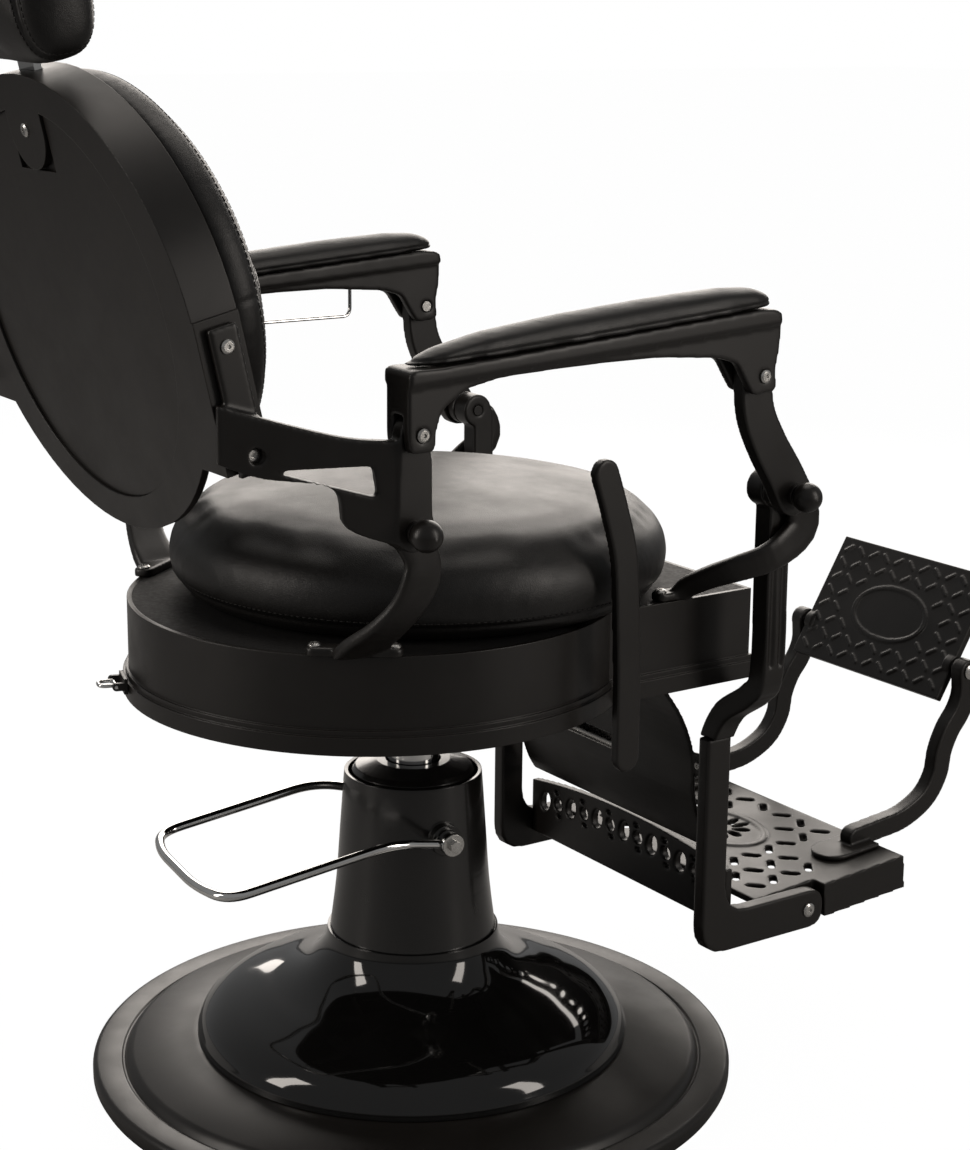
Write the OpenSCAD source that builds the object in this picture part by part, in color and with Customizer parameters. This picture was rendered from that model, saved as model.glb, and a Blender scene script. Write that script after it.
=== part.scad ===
// Barber chair with a round seat, an oval back, a pump column and a linked, folding footrest.
// Millimetres. The origin is the centre of the base where it meets the floor, +Z is up and
// the chair faces -Y. The sitter's right side is -X: right hand pieces are drawn there and
// mirrored for the left. Side profiles are drawn as [y, z] points.

/* [Base] */
// Diameter of the base disc
base_d = 700; // [620:10:760]
// Height of the base disc at its outer rim
base_rim_h = 17; // [14:1:24]
// Height of the base disc under the rim of the bell
base_crown_h = 38; // [34:1:44]
// Wall of the base casting
base_wall = 9; // [7:1:11]
// Thickness of the rubber ring under the base
floor_ring_h = 4; // [3:1:6]
// Diameter of the rubber pad under the middle of the base
centre_pad_d = 140; // [120:5:160]
// Diameter of the rim of the glossy bell
bell_d = 472; // [440:2:500]
// Wall of the bell
bell_wall = 3; // [2:0.5:4]
// Height of the top of the bell above the floor
bell_top_z = 160; // [150:1:175]

/* [Column] */
// Diameter of the column sleeve at its foot
sleeve_foot_d = 180; // [172:1:188]
// Diameter of the column sleeve at its top
sleeve_top_d = 148; // [142:1:156]
// Height of the top of the column sleeve above the floor
sleeve_top_z = 338; // [328:1:350]
// Wall of the column sleeve
sleeve_wall = 4; // [3:0.5:6]
// Diameter of the chrome ram
ram_d = 56; // [50:1:62]
// Radial play of the ram in its gland
ram_play = 0.05; // [0.03:0.01:0.08]
// Travel of the seat lift
lift_travel = 150; // [120:5:160]

/* [Pump lever] */
// Height of the pump shaft above the floor
pump_z = 284; // [276:1:292]
// Turn of the pump lever about the column, in degrees
pump_turn = 8; // [0:1:12]
// Diameter of the lever rod
lever_rod_d = 10; // [8:0.5:12]
// Length of the lever from the shaft to its end bar
lever_reach = 268; // [255:1:290]
// Half of the width of the lever loop
lever_half_w = 106; // [102:1:112]

/* [Seat] */
// Radius of the round part of the seat apron
apron_r = 256; // [248:1:262]
// Distance of the centre of the round part behind the column
seat_back_shift = 48; // [40:1:56]
// Half of the width of the straight front part of the apron
apron_box_half_w = 206; // [198:1:212]
// Front face of the apron, ahead of the column
apron_front = 290; // [282:1:298]
// Height of the bottom edge of the apron above the floor
apron_bottom_z = 447; // [440:1:452]
// Height of the apron
apron_h = 96; // [90:1:102]
// Wall of the apron casting
apron_wall = 5; // [4:0.5:7]
// Step of the bottom band outside the apron
apron_band_step = 6; // [4:0.5:8]
// Height of the bottom band
apron_band_h = 24; // [18:1:28]
// Radius of the seat cushion at its fullest
cushion_r = 265; // [258:1:268]
// Distance of the centre of the seat cushion ahead of the column
cushion_front_shift = 6; // [0:1:12]
// Height of the seat cushion at its crown
cushion_h = 112; // [100:1:118]

/* [Linkage] */
// Distance of the back pivot behind the column
back_pivot_y = 195; // [190:1:200]
// Height of the back pivot above the floor
back_pivot_z = 682; // [678:1:688]
// Distance of the footrest pivot ahead of the column
leg_pivot_front = 254; // [250:1:260]
// Height of the footrest pivot above the floor
leg_pivot_z = 666; // [662:1:672]
// Height of the rear arm pivot above the back pivot
arm_rear_rise = 89; // [86:1:92]
// Distance of the front arm pivot ahead of the column
arm_front_y = 198; // [194:1:202]
// Height of the front arm pivot above the floor
arm_front_z = 791; // [788:1:795]
// Thickness of the linkage castings
link_t = 16; // [14:1:17]
// Middle of the linkage castings, measured sideways from the column
link_x = 300; // [296:1:304]
// Gap between castings that move past each other
side_gap = 0.5; // [0.4:0.1:0.8]
// Diameter of the linkage pins
pin_d = 12; // [10:1:13]
// Radial play of a running pin
pin_play = 0.05; // [0.03:0.01:0.08]
// Radial clearance of the front arm pin in the front link
open_pin_play = 1.5; // [1.2:0.1:2]

/* [Armrests] */
// Width of an arm casting
arm_w = 44; // [42:1:46]
// Width across the cheeks of an arm casting, under its top flange
arm_cheek_w = 38; // [34:1:40]
// Height of the top of the arm casting at its rear end
arm_top_rear_z = 829; // [826:1:832]
// Height of the top of the arm casting at its front end
arm_top_front_z = 856; // [852:1:860]
// Height of an arm pad at its crest
arm_pad_h = 25; // [20:1:28]
// Width of an arm pad at its fullest
arm_pad_w = 54; // [48:1:58]

/* [Back] */
// Lean of the back, in degrees from upright
back_lean = 13; // [11:0.5:15]
// Distance of the rear face of the back behind the column, at its middle
back_mid_y = 380; // [375:1:385]
// Height of the middle of the back above the floor
back_mid_z = 860; // [856:1:864]
// Half of the width of the oval shell
shell_half_w = 250; // [244:1:253]
// Half of the height of the oval shell
shell_half_h = 218; // [212:1:223]
// Depth of the wall of the shell
shell_depth = 45; // [40:1:48]
// Thickness of the shell casting
shell_wall = 5; // [4:0.5:6]
// Depth of the back cushion at its crown
back_cushion_t = 62; // [50:1:68]

/* [Headrest] */
// Width of the headrest cushion
headrest_w = 264; // [240:4:290]
// Height of the headrest cushion
headrest_h = 150; // [130:5:160]
// Depth of the headrest cushion
headrest_t = 84; // [70:2:90]
// Travel of the headrest slide
headrest_travel = 80; // [60:5:90]

/* [Footrest] */
// Outer faces of the hangers, measured sideways from the middle
hanger_x = 200; // [196:1:203]
// Thickness of a hanger
hanger_t = 18; // [15:1:20]
// Height of the underside of the hangers above the floor
hanger_bottom_z = 132; // [128:1:138]
// Distance of the footplate hinge ahead of the column
plate_hinge_front = 399; // [394:1:404]
// Height of the footplate hinge above the floor
plate_hinge_z = 154; // [150:1:158]
// Front edge of the lower footplate, ahead of the column
lower_plate_front = 547; // [538:1:556]
// Width of the upper footplate
upper_plate_w = 254; // [240:2:260]
// Length of the upper footplate up its slope
upper_plate_l = 162; // [150:2:174]
// Tilt of the upper footplate, in degrees from level
upper_plate_tilt = 59; // [54:1:62]
// Middles of the curved arms, measured sideways from the middle
curved_arm_x = 141; // [139:1:146]
// Distance of the upper footplate pivot ahead of the column
upper_pivot_front = 687; // [682:1:692]
// Height of the upper footplate pivot above the floor
upper_pivot_z = 374; // [370:1:378]

/* [Hidden] */

// Roundness of turned pieces
$fn = 64;
// Overrun of every cut past the face it leaves
over = 1;
// Share of an edge that a rounded corner may take
corner_share = 0.45;
// Steps along one rounded corner and along one span of a curve
corner_steps = 4;
curve_steps = 5;
// Gap under soft pieces and beside pieces that only rest on each other
soft_gap = 0.3;

// Base and bell
base_r = base_d / 2;
base_top_z = floor_ring_h + base_rim_h;
base_crown_z = floor_ring_h + base_crown_h;
bell_r = bell_d / 2;
bell_neck_r = sleeve_foot_d / 2 + bell_wall;
bell_bottom_z = base_crown_z + soft_gap;
// Groove and step of the disc, in from the rim
groove_in = 32;
groove_w = 3;
groove_depth = 2;
step_w = 12;
step_h = 8;
edge_round = 5;
centre_pad_r = centre_pad_d / 2;
// Outline of the bell from rim to neck, as shares of its spread and of its height
bell_outline_shares = [
    [1, 0], [0.99, 0.09], [0.94, 0.2], [0.8, 0.33], [0.57, 0.44], [0.35, 0.53],
    [0.19, 0.63], [0.08, 0.76], [0.02, 0.88], [0, 1]
];

// Column and pump
sleeve_foot_r = sleeve_foot_d / 2;
sleeve_top_r = sleeve_top_d / 2;
// Outline of the sleeve from foot to top, as shares of its taper and of its height
sleeve_outline_shares = [[0, 0], [0.42, 0.3], [0.68, 0.62], [0.94, 0.94], [1, 1]];
sleeve_skirt_r = sleeve_foot_r - sleeve_wall;
ram_r = ram_d / 2;
cylinder_wall = 12;
cylinder_r = ram_r + cylinder_wall;
cylinder_flange_h = 10;
cylinder_flange_out = 34;
collar_h = 12;
collar_gap = 2;
ram_foot_z = 70;
hub_shoulder_z = 420;
spigot_d = 40;
spigot_h = 30;
shaft_d = 14;
hub_d = 24;
hub_w = 14;
boss_d = 34;
boss_in = 4;
boss_x = sleeve_foot_r - boss_in;
lever_hub_x = boss_x + side_gap + hub_w / 2;
// Leg of the lever: rise over the bend, drop at the end and shares along its reach
lever_rise = 14;
lever_drop = 17;
lever_bend_share = 0.26;
lever_corner_share = 0.94;
lever_nose_share = 0.5;

// Seat
seat_top_z = apron_bottom_z + apron_h;
deck_t = 12;
ledge_w = 14;
ledge_h = 8;
rail_w = 30;
rail_h = 40;
rail_x = 96;
cross_h = 30;
swivel_plate_t = 8;
swivel_plate_w = 240;
swivel_hub_r = 38;
deck_bottom_z = seat_top_z - deck_t;
swivel_plate_z = hub_shoulder_z + spigot_h + 2 * side_gap;
rail_z = swivel_plate_z + swivel_plate_t;
cross_z = deck_bottom_z - cross_h;
// Outline of the seat cushion from foot to crown, as shares of its radius and height
cushion_outline_shares = [
    [0.915, 0], [0.93, 0.07], [0.985, 0.2], [1, 0.36], [0.99, 0.54], [0.95, 0.7], [0.86, 0.83],
    [0.7, 0.92], [0.45, 0.98], [0.2, 0.996], [0, 1]
];

// Linkage
back_pivot = [back_pivot_y, back_pivot_z];
leg_pivot = [-leg_pivot_front, leg_pivot_z];
arm_rear = [back_pivot_y, back_pivot_z + arm_rear_rise];
arm_front = [-arm_front_y, arm_front_z];
inner_x = link_x - link_t / 2 - side_gap;
outer_x = link_x + link_t / 2 + side_gap;
head_r = 19;
head_t = 13;
ball_r = 15;
ball_neck = 4;
ball_neck_share = 0.7;
ball_sink = 2;
knob_x = outer_x + ball_neck + ball_r - ball_sink;
axle_r = pin_d / 2;
axle_bore_r = axle_r + pin_play;
arm_head_r = 16;
screw_d = 13;
small_screw_d = 10;
plate_screw_d = 16;
screw_head_h = 3;
screw_top_share = 0.72;

// Arms
arm_cheek_x = link_x + arm_cheek_w / 2;
arm_slot_w = link_t + 2 * side_gap;

function unit2(v) = v / norm(v);
function bezier(a, b, c) = [
    for (k = [0:corner_steps]) let (s = k / corner_steps)
        (1 - s) * (1 - s) * a + 2 * s * (1 - s) * b + s * s * c
];
// A closed outline with each corner rounded over its set-back, none where that is zero
function rounded(pts, back) = let (m = len(pts)) [
    for (i = [0:m - 1])
        let (b = pts[i], p = pts[(i + m - 1) % m], q = pts[(i + 1) % m],
             t = min(is_list(back) ? back[i] : back,
                     corner_share * norm(p - b), corner_share * norm(q - b)))
        each t > 0 ? bezier(b + t * unit2(p - b), b, b + t * unit2(q - b)) : [b]
];
// A smooth open curve through the points
function curve(pts, steps = curve_steps) = let (m = len(pts) - 1) [
    for (i = [0:m - 1])
        let (a = pts[max(i - 1, 0)], b = pts[i], c = pts[i + 1], d = pts[min(i + 2, m)])
        for (k = [0:steps - 1]) let (s = k / steps)
            (2 * b + (c - a) * s + (2 * a - 5 * b + 4 * c - d) * s * s
             + (3 * b - a - 3 * c + d) * s * s * s) / 2,
    pts[m]
];
function normal2(pts, i) = let (
    m = len(pts) - 1, d = unit2(pts[min(i + 1, m)] - pts[max(i - 1, 0)])) [-d[1], d[0]];
// An outline along a curve, with its width running from one value to another
function strip(pts, w0, w1) = let (m = len(pts) - 1) concat(
    [for (i = [0:m]) pts[i] + normal2(pts, i) * (w0 + (w1 - w0) * i / m) / 2],
    [for (i = [m:-1:0]) pts[i] - normal2(pts, i) * (w0 + (w1 - w0) * i / m) / 2]);
function turned(v, a) = [v[0] * cos(a) - v[1] * sin(a), v[0] * sin(a) + v[1] * cos(a)];
// The same outline with round ends
function strap(pts, w0, w1, n = 8) = let (m = len(pts) - 1) concat(
    [for (i = [0:m]) pts[i] + normal2(pts, i) * (w0 + (w1 - w0) * i / m) / 2],
    [for (k = [1:n - 1]) pts[m] + turned(normal2(pts, m), -180 * k / n) * w1 / 2],
    [for (i = [m:-1:0]) pts[i] - normal2(pts, i) * (w0 + (w1 - w0) * i / m) / 2],
    [for (k = [1:n - 1]) pts[0] - turned(normal2(pts, 0), -180 * k / n) * w0 / 2]);
// An outline one wall thick, on the left of a curve
function skin(pts, wall) = concat(
    pts, [for (i = [len(pts) - 1:-1:0]) pts[i] + normal2(pts, i) * wall]);
function ellipse(a, b, n = 72) = [for (k = [0:n - 1]) [a * cos(360 * k / n), b * sin(360 * k / n)]];
// Points placed by shares of a span between two values on each axis
function place(shares, x0, x1, y0, y1) = [
    for (s = shares) [x0 + s[0] * (x1 - x0), y0 + s[1] * (y1 - y0)]
];

// A [y, z] outline as a plate whose middle is at x
module side_plate(x, t) {
    translate([x - t / 2, 0, 0]) rotate([90, 0, 90]) linear_extrude(t) children();
}
// A cylinder across the chair, centred at x on a [y, z] point
module cross_pin(x, at, r, w) {
    translate([x - w / 2, at[0], at[1]]) rotate([0, 90, 0]) cylinder(h = w, r = r);
}
module left() {
    mirror([1, 0, 0]) children();
}
module both() {
    children();
    left() children();
}
// Rings of points joined into a closed skin, with flat ends
module loft(rings) {
    n = len(rings[0]);
    m = len(rings);
    polyhedron(
        points = [for (r = rings) each r],
        faces = concat(
            [[for (k = [n - 1:-1:0]) k]],
            [for (i = [0:m - 2], k = [0:n - 1])
                each [[i * n + k, i * n + (k + 1) % n, (i + 1) * n + (k + 1) % n],
                      [i * n + k, (i + 1) * n + (k + 1) % n, (i + 1) * n + k]]],
            [[for (k = [0:n - 1]) (m - 1) * n + k]]));
}
// An open route in space with its corners rounded over the given set-back
function bent(pts, back) = let (m = len(pts) - 1) [
    pts[0],
    for (i = [1:1:m - 1])
        let (b = pts[i], p = pts[i - 1], q = pts[i + 1],
             t = min(back, corner_share * norm(p - b), corner_share * norm(q - b)))
        each bezier(b + t * unit2(p - b), b, b + t * unit2(q - b)),
    pts[m]
];
function route_dir(pts, i) = unit2(pts[min(i + 1, len(pts) - 1)] - pts[max(i - 1, 0)]);
// Side vectors carried along a route without twist
function carried(pts, i, side) = let (
    d = route_dir(pts, i), s = unit2(side - (side * d) * d))
    i == len(pts) - 1 ? [s] : concat([s], carried(pts, i + 1, s));
// A bent round rod along a route
module bent_rod(pts, d, side = [0, 0, 1], sides = 12) {
    sv = carried(pts, 0, side);
    loft([for (i = [0:len(pts) - 1]) let (v = cross(sv[i], route_dir(pts, i)))
        [for (k = [0:sides - 1])
            pts[i] + d / 2 * (cos(360 * k / sides) * sv[i] + sin(360 * k / sides) * v)]]);
}
function squared(c) = sign(c) * sqrt(abs(c));
// A cast bar along stations, each [x, y, z, width, thickness], its width along the side vector
module cast_bar(stations, side = [0, 1, 0], sides = 12) {
    pts = curve(stations, 4);
    mids = [for (p = pts) [p[0], p[1], p[2]]];
    sv = carried(mids, 0, side);
    loft([for (i = [0:len(pts) - 1]) let (v = cross(sv[i], route_dir(mids, i)))
        [for (k = [0:sides - 1]) let (a = 360 * (k + 1 / 2) / sides)
            mids[i] + squared(cos(a)) * pts[i][3] / 2 * sv[i]
            + squared(sin(a)) * pts[i][4] / 2 * v]]);
}
// A pad with round ends standing on z = 0, its length along Y
module foot_pad(at, l, w, h, turn = 0) {
    translate(at) rotate([0, 0, turn]) linear_extrude(h)
        polygon(rounded([[-w / 2, -l / 2], [w / 2, -l / 2], [w / 2, l / 2], [-w / 2, l / 2]], w / 2));
}
// A pan head screw head with a hexagon recess, standing on z = 0
module screw_head(d = screw_d, h = screw_head_h) {
    difference() {
        rotate_extrude() polygon([
            [0, 0], [d / 2, 0], [d / 2, h / 2], [d / 2 * screw_top_share, h], [0, h]
        ]);
        translate([0, 0, h / 2]) cylinder(h = h, d = d / 3, $fn = 6);
    }
}
// A screw head on a vertical face, pointing to the right hand side of the chair
module side_screw(x, at, d = screw_d) {
    translate([x, at[0], at[1]]) rotate([0, -90, 0]) screw_head(d);
}

module base_plate() {
    groove_r = base_r - groove_in;
    top = [
        [0, base_crown_z], [bell_r, base_crown_z],
        [(bell_r + groove_r) / 2, base_crown_z - (base_crown_h - base_rim_h - step_h) * corner_share],
        [groove_r - step_w, base_top_z + step_h], [groove_r - groove_w, base_top_z],
        [groove_r - groove_w, base_top_z - groove_depth], [groove_r, base_top_z - groove_depth],
        [groove_r, base_top_z], [base_r - edge_round, base_top_z],
        [base_r - edge_round / 3, base_top_z - edge_round / 3], [base_r, base_top_z - edge_round]
    ];
    under = [
        [base_r, floor_ring_h], [base_r - base_wall, floor_ring_h],
        [base_r - base_wall, base_top_z - base_wall], [groove_r - step_w, base_top_z - base_wall],
        [bell_r, base_crown_z - base_wall], [sleeve_foot_r, base_crown_z - 2 * base_wall],
        [centre_pad_r, base_crown_z - 2 * base_wall], [centre_pad_r, floor_ring_h],
        [0, floor_ring_h]
    ];
    color([0.13, 0.13, 0.13]) rotate_extrude($fn = 96) polygon(concat(top, under));
}

module floor_ring() {
    color([0.07, 0.07, 0.07]) difference() {
        cylinder(h = floor_ring_h, r = base_r - edge_round / 2, $fn = 96);
        translate([0, 0, -over])
            cylinder(h = floor_ring_h + 2 * over, r = base_r - 2 * base_wall, $fn = 96);
    }
}

module centre_pad() {
    color([0.07, 0.07, 0.07]) cylinder(h = floor_ring_h, r = centre_pad_r - edge_round / 2);
}

module bell_cover() {
    outline = curve(place(bell_outline_shares, bell_neck_r, bell_r, bell_bottom_z, bell_top_z), 3);
    color([0.02, 0.02, 0.02]) rotate_extrude($fn = 96) polygon(skin(outline, bell_wall));
}

module column_sleeve() {
    outline = curve(place(sleeve_outline_shares, sleeve_foot_r, sleeve_top_r,
                          bell_top_z + soft_gap, sleeve_top_z), 3);
    color([0.11, 0.11, 0.11]) difference() {
        union() {
            rotate_extrude($fn = 96) polygon(skin(outline, sleeve_wall));
            rotate_extrude($fn = 96) polygon([
                [sleeve_skirt_r - sleeve_wall, base_crown_z], [sleeve_skirt_r, base_crown_z],
                [sleeve_skirt_r, bell_top_z + soft_gap],
                [sleeve_foot_r, bell_top_z + soft_gap + over],
                [sleeve_foot_r - sleeve_wall, bell_top_z + 2 * sleeve_wall],
                [sleeve_skirt_r - sleeve_wall, bell_top_z]
            ]);
            rotate([0, 0, -pump_turn]) cross_pin(0, [0, pump_z], boss_d / 2, 2 * boss_x);
        }
        cylinder(h = sleeve_top_z + over, r = sleeve_top_r - 2 * sleeve_wall);
        rotate([0, 0, -pump_turn])
            cross_pin(0, [0, pump_z], shaft_d / 2, 2 * (boss_x + over));
    }
}

module pump_cylinder() {
    top = sleeve_top_z - cylinder_flange_h;
    color([0.2, 0.2, 0.2]) difference() {
        union() {
            translate([0, 0, base_crown_z]) cylinder(h = top - base_crown_z, r = cylinder_r);
            translate([0, 0, base_crown_z])
                cylinder(h = cylinder_flange_h, r = cylinder_r + cylinder_flange_out / 2);
        }
        translate([0, 0, base_crown_z + cylinder_flange_h])
            cylinder(h = sleeve_top_z, r = ram_r + ram_play);
        rotate([0, 0, -pump_turn]) both()
            cross_pin(cylinder_r, [0, pump_z], shaft_d / 2, cylinder_wall);
    }
}

module column_collar() {
    color([0.05, 0.05, 0.05]) difference() {
        union() {
            translate([0, 0, sleeve_top_z]) rotate_extrude() polygon([
                [0, 0], [sleeve_top_r - 2 * sleeve_wall, 0],
                [sleeve_top_r - 3 * sleeve_wall, collar_h * corner_share],
                [ram_r + cylinder_wall, collar_h], [0, collar_h]
            ]);
            translate([0, 0, sleeve_top_z - cylinder_flange_h])
                cylinder(h = cylinder_flange_h, r = sleeve_top_r - 2 * sleeve_wall - side_gap);
        }
        translate([0, 0, sleeve_top_z - cylinder_flange_h - over])
            cylinder(h = collar_h + cylinder_flange_h + 2 * over, r = ram_r + collar_gap);
    }
}

module pump_shaft() {
    // Two stub shafts, from the cylinder wall out through the bosses
    stub_in = cylinder_r - cylinder_wall / 2;
    stub_out = boss_x + hub_w + 2 * side_gap;
    color([0.7, 0.7, 0.7]) rotate([0, 0, -pump_turn]) both()
        cross_pin(-(stub_in + stub_out) / 2, [0, pump_z], shaft_d / 2 - pin_play,
                  stub_out - stub_in);
}

module pump_lever() {
    // Right leg from its hub round to the nose of the loop, in the lever's own frame
    hub = [-lever_hub_x, lever_rod_d, 0];
    bend = [-lever_half_w, lever_reach * lever_bend_share, lever_rise];
    corner = [-lever_half_w, lever_reach * lever_corner_share, -lever_drop];
    turn = [-lever_half_w * lever_nose_share, lever_reach, -lever_drop];
    leg = [hub, bend, corner, turn];
    route = concat(leg, [for (i = [3:-1:0]) [-leg[i][0], leg[i][1], leg[i][2]]]);
    color([0.8, 0.8, 0.8]) translate([0, 0, pump_z]) rotate([0, 0, -pump_turn]) difference() {
        union() {
            bent_rod(bent(route, 3 * lever_rod_d), lever_rod_d);
            both() cross_pin(-lever_hub_x, [0, 0], hub_d / 2, hub_w);
        }
        both() cross_pin(-lever_hub_x, [0, 0], shaft_d / 2, hub_w + 2 * over);
    }
}

module pump_lever_bolts() {
    color([0.75, 0.75, 0.75]) rotate([0, 0, -pump_turn]) both()
        translate([-boss_x - hub_w - side_gap * 2, 0, pump_z]) rotate([0, -90, 0]) {
            cylinder(h = screw_head_h / 2, d = hub_d);
            translate([0, 0, screw_head_h / 2]) cylinder(h = screw_head_h * 2, d = screw_d, $fn = 6);
        }
}

module lift_ram() {
    color([0.85, 0.85, 0.85]) {
        translate([0, 0, ram_foot_z]) cylinder(h = hub_shoulder_z - ram_foot_z, r = ram_r);
        translate([0, 0, hub_shoulder_z]) cylinder(h = spigot_h, d = spigot_d);
    }
}

module swivel_plate() {
    color([0.12, 0.12, 0.12]) difference() {
        union() {
            translate([0, 0, hub_shoulder_z + side_gap])
                cylinder(h = rail_z - hub_shoulder_z - side_gap, r = swivel_hub_r);
            translate([-swivel_plate_w / 2, -swivel_plate_w / 2, swivel_plate_z])
                cube([swivel_plate_w, swivel_plate_w, swivel_plate_t]);
        }
        translate([0, 0, hub_shoulder_z - over])
            cylinder(h = spigot_h + over + side_gap, d = spigot_d + 2 * ram_play);
    }
}

module seat_frame() {
    // Half of the width inside the apron at a distance behind the column
    function inside(y) = max(apron_box_half_w * (y < seat_back_shift ? 1 : 0),
                             sqrt(pow(apron_r, 2) - pow(y - seat_back_shift, 2))) - 2 * ledge_w;
    rear = seat_back_shift + apron_r - 3 * ledge_w;
    front = -apron_front + 2 * ledge_w;
    cross_ys = [front, -swivel_plate_w / 4, seat_back_shift * 2, rear - rail_w];
    color([0.1, 0.1, 0.1]) {
        both() translate([rail_x - rail_w / 2, front, rail_z])
            cube([rail_w, rear - front, rail_h]);
        for (y = cross_ys)
            let (reach = min(inside(y), inside(y + rail_w)))
            translate([-reach, y, rail_z + rail_h])
                cube([2 * reach, rail_w, deck_bottom_z - rail_z - rail_h]);
    }
}

// Outline of the apron, grown by a step
module apron_outline(grow) {
    translate([0, seat_back_shift]) circle(r = apron_r + grow, $fn = 120);
    translate([-apron_box_half_w - grow, -apron_front - grow])
        square([2 * (apron_box_half_w + grow), apron_front + seat_back_shift + grow]);
}

module apron_shell() {
    bead_h = apron_band_step;
    color([0.12, 0.12, 0.12]) difference() {
        union() {
            translate([0, 0, apron_bottom_z]) linear_extrude(apron_h) apron_outline(0);
            translate([0, 0, apron_bottom_z]) linear_extrude(apron_band_h - bead_h)
                apron_outline(apron_band_step);
            translate([0, 0, apron_bottom_z]) linear_extrude(apron_band_h)
                apron_outline(apron_band_step / 2);
        }
        translate([0, 0, apron_bottom_z - over])
            linear_extrude(deck_bottom_z - ledge_h - apron_bottom_z + over) apron_outline(-apron_wall);
        translate([0, 0, apron_bottom_z]) linear_extrude(apron_h) apron_outline(-ledge_w);
        translate([0, 0, deck_bottom_z]) linear_extrude(deck_t + over) apron_outline(-apron_wall);
    }
}

module seat_deck() {
    color([0.16, 0.13, 0.1]) translate([0, 0, deck_bottom_z])
        linear_extrude(deck_t) apron_outline(-apron_wall - soft_gap);
}

module seat_cushion() {
    outline = curve(place(cushion_outline_shares, 0, cushion_r, seat_top_z + soft_gap,
                          seat_top_z + cushion_h), 3);
    color([0.1, 0.1, 0.1]) translate([0, -cushion_front_shift, 0])
        rotate_extrude($fn = 72) polygon(concat([[0, seat_top_z + soft_gap]], outline));
}

// Feet of the castings on the rim of the apron
foot_h = 9;
foot_w = 20;
blade_t = 12;
head_x = -inner_x + head_t / 2;
rear_foot_l = 92;
rear_foot_turn = 36;
rear_foot = [-(apron_r - foot_w / 3) * cos(rear_foot_turn),
             seat_back_shift + (apron_r - foot_w / 3) * sin(rear_foot_turn)];
wing_foot_l = 48;
// The front feet stand just ahead of the foot of the cushion
cushion_foot_r = cushion_r * cushion_outline_shares[1][0];
wing_foot_inner_x = apron_box_half_w - foot_w;
wing_foot_back = cushion_front_shift
    + sqrt(max(pow(cushion_foot_r, 2) - pow(wing_foot_inner_x, 2), 0)) + soft_gap;
wing_foot = [-apron_box_half_w + foot_w / 2, -wing_foot_back - wing_foot_l / 2];
// Stations of a casting from its head to its foot: shares of the way across, ahead and down,
// then width as a share of the foot's length and thickness as a share of the blade
rear_support_shares = [
    [0, 0, 0, 0.36, 1], [0, -0.22, 0.2, 0.4, 1], [0.03, -0.23, 0.38, 0.45, 1],
    [0.17, -0.17, 0.56, 0.44, 1], [0.42, -0.06, 0.74, 0.46, 1.1], [0.78, 0, 0.9, 0.54, 1.25],
    [0.96, 0, 0.99, 0.56, 1.3]
];
front_wing_shares = [
    [0, 0, 0, 0.7, 1], [0, -0.56, 0.13, 0.8, 1], [0, -0.62, 0.35, 0.85, 1],
    [0, 0.16, 0.54, 0.68, 1], [0.19, 0.45, 0.64, 0.6, 1], [0.51, 0.32, 0.75, 0.52, 1.1],
    [0.83, 0.07, 0.88, 0.46, 1.2], [0.97, -0.05, 0.99, 0.42, 1.3]
];

// A casting from a pivot down to its foot. It follows the foot along Y as it goes across, and
// its further shift along Y is in shares of the foot's length
module casting(pivot, foot, foot_l, turn, shares) {
    drop = pivot[1] - seat_top_z;
    across = foot[0] - head_x;
    stations = [for (s = shares) [
        head_x + s[0] * across, pivot[0] + s[0] * (foot[1] - pivot[0]) + s[1] * foot_l,
        pivot[1] - s[2] * drop, s[3] * foot_l, s[4] * blade_t
    ]];
    color([0.12, 0.12, 0.12]) difference() {
        union() {
            cross_pin(head_x, pivot, head_r, head_t);
            cast_bar(stations);
            foot_pad([foot[0], foot[1], seat_top_z], foot_l, foot_w, foot_h, turn);
        }
        cross_pin(head_x, pivot, axle_bore_r, head_t + 2 * over);
        translate([-link_x, foot[1] - foot_l, seat_top_z - drop])
            cube([link_x, 2 * foot_l, drop]);
    }
}

module rear_support() {
    casting(back_pivot, rear_foot, rear_foot_l, -rear_foot_turn, rear_support_shares);
}

module front_wing() {
    casting(leg_pivot, wing_foot, wing_foot_l, 0, front_wing_shares);
}

module seat_screws() {
    along_share = 0.41;
    wing_along_share = 0.34;
    dir = [sin(rear_foot_turn), cos(rear_foot_turn)];
    color([0.75, 0.75, 0.75]) both() {
        for (side = [-1, 1]) {
            at = rear_foot + side * along_share * rear_foot_l * dir;
            translate([at[0], at[1], seat_top_z + foot_h]) screw_head();
        }
        translate([wing_foot[0], wing_foot[1] + wing_along_share * wing_foot_l,
                   seat_top_z + foot_h]) screw_head();
    }
}

// A pin with a ball knob outside the linkage, from an inner face outwards
module knob_axle(at, from_x) {
    translate([-from_x, at[0], at[1]]) rotate([0, -90, 0]) {
        cylinder(h = outer_x - from_x, r = axle_r);
        translate([0, 0, outer_x - from_x]) cylinder(h = ball_neck, r = ball_r * ball_neck_share);
        translate([0, 0, knob_x - from_x]) sphere(r = ball_r, $fn = 40);
    }
}

module back_axles() {
    color([0.1, 0.1, 0.1]) both() knob_axle(back_pivot, inner_x - head_t);
}

// Strop ring on its bracket, behind the apron
strop_turn = -17;
strop_w = 34;
strop_t = 4;
strop_rod_d = 4;
strop_reach = 16;
strop_eye_out = 3 * strop_t;
strop_z = apron_bottom_z + apron_band_h / 2 + strop_t;

module on_strop() {
    translate([0, seat_back_shift, strop_z]) rotate([0, 0, strop_turn])
        translate([0, apron_r + apron_band_step, 0]) children();
}

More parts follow.
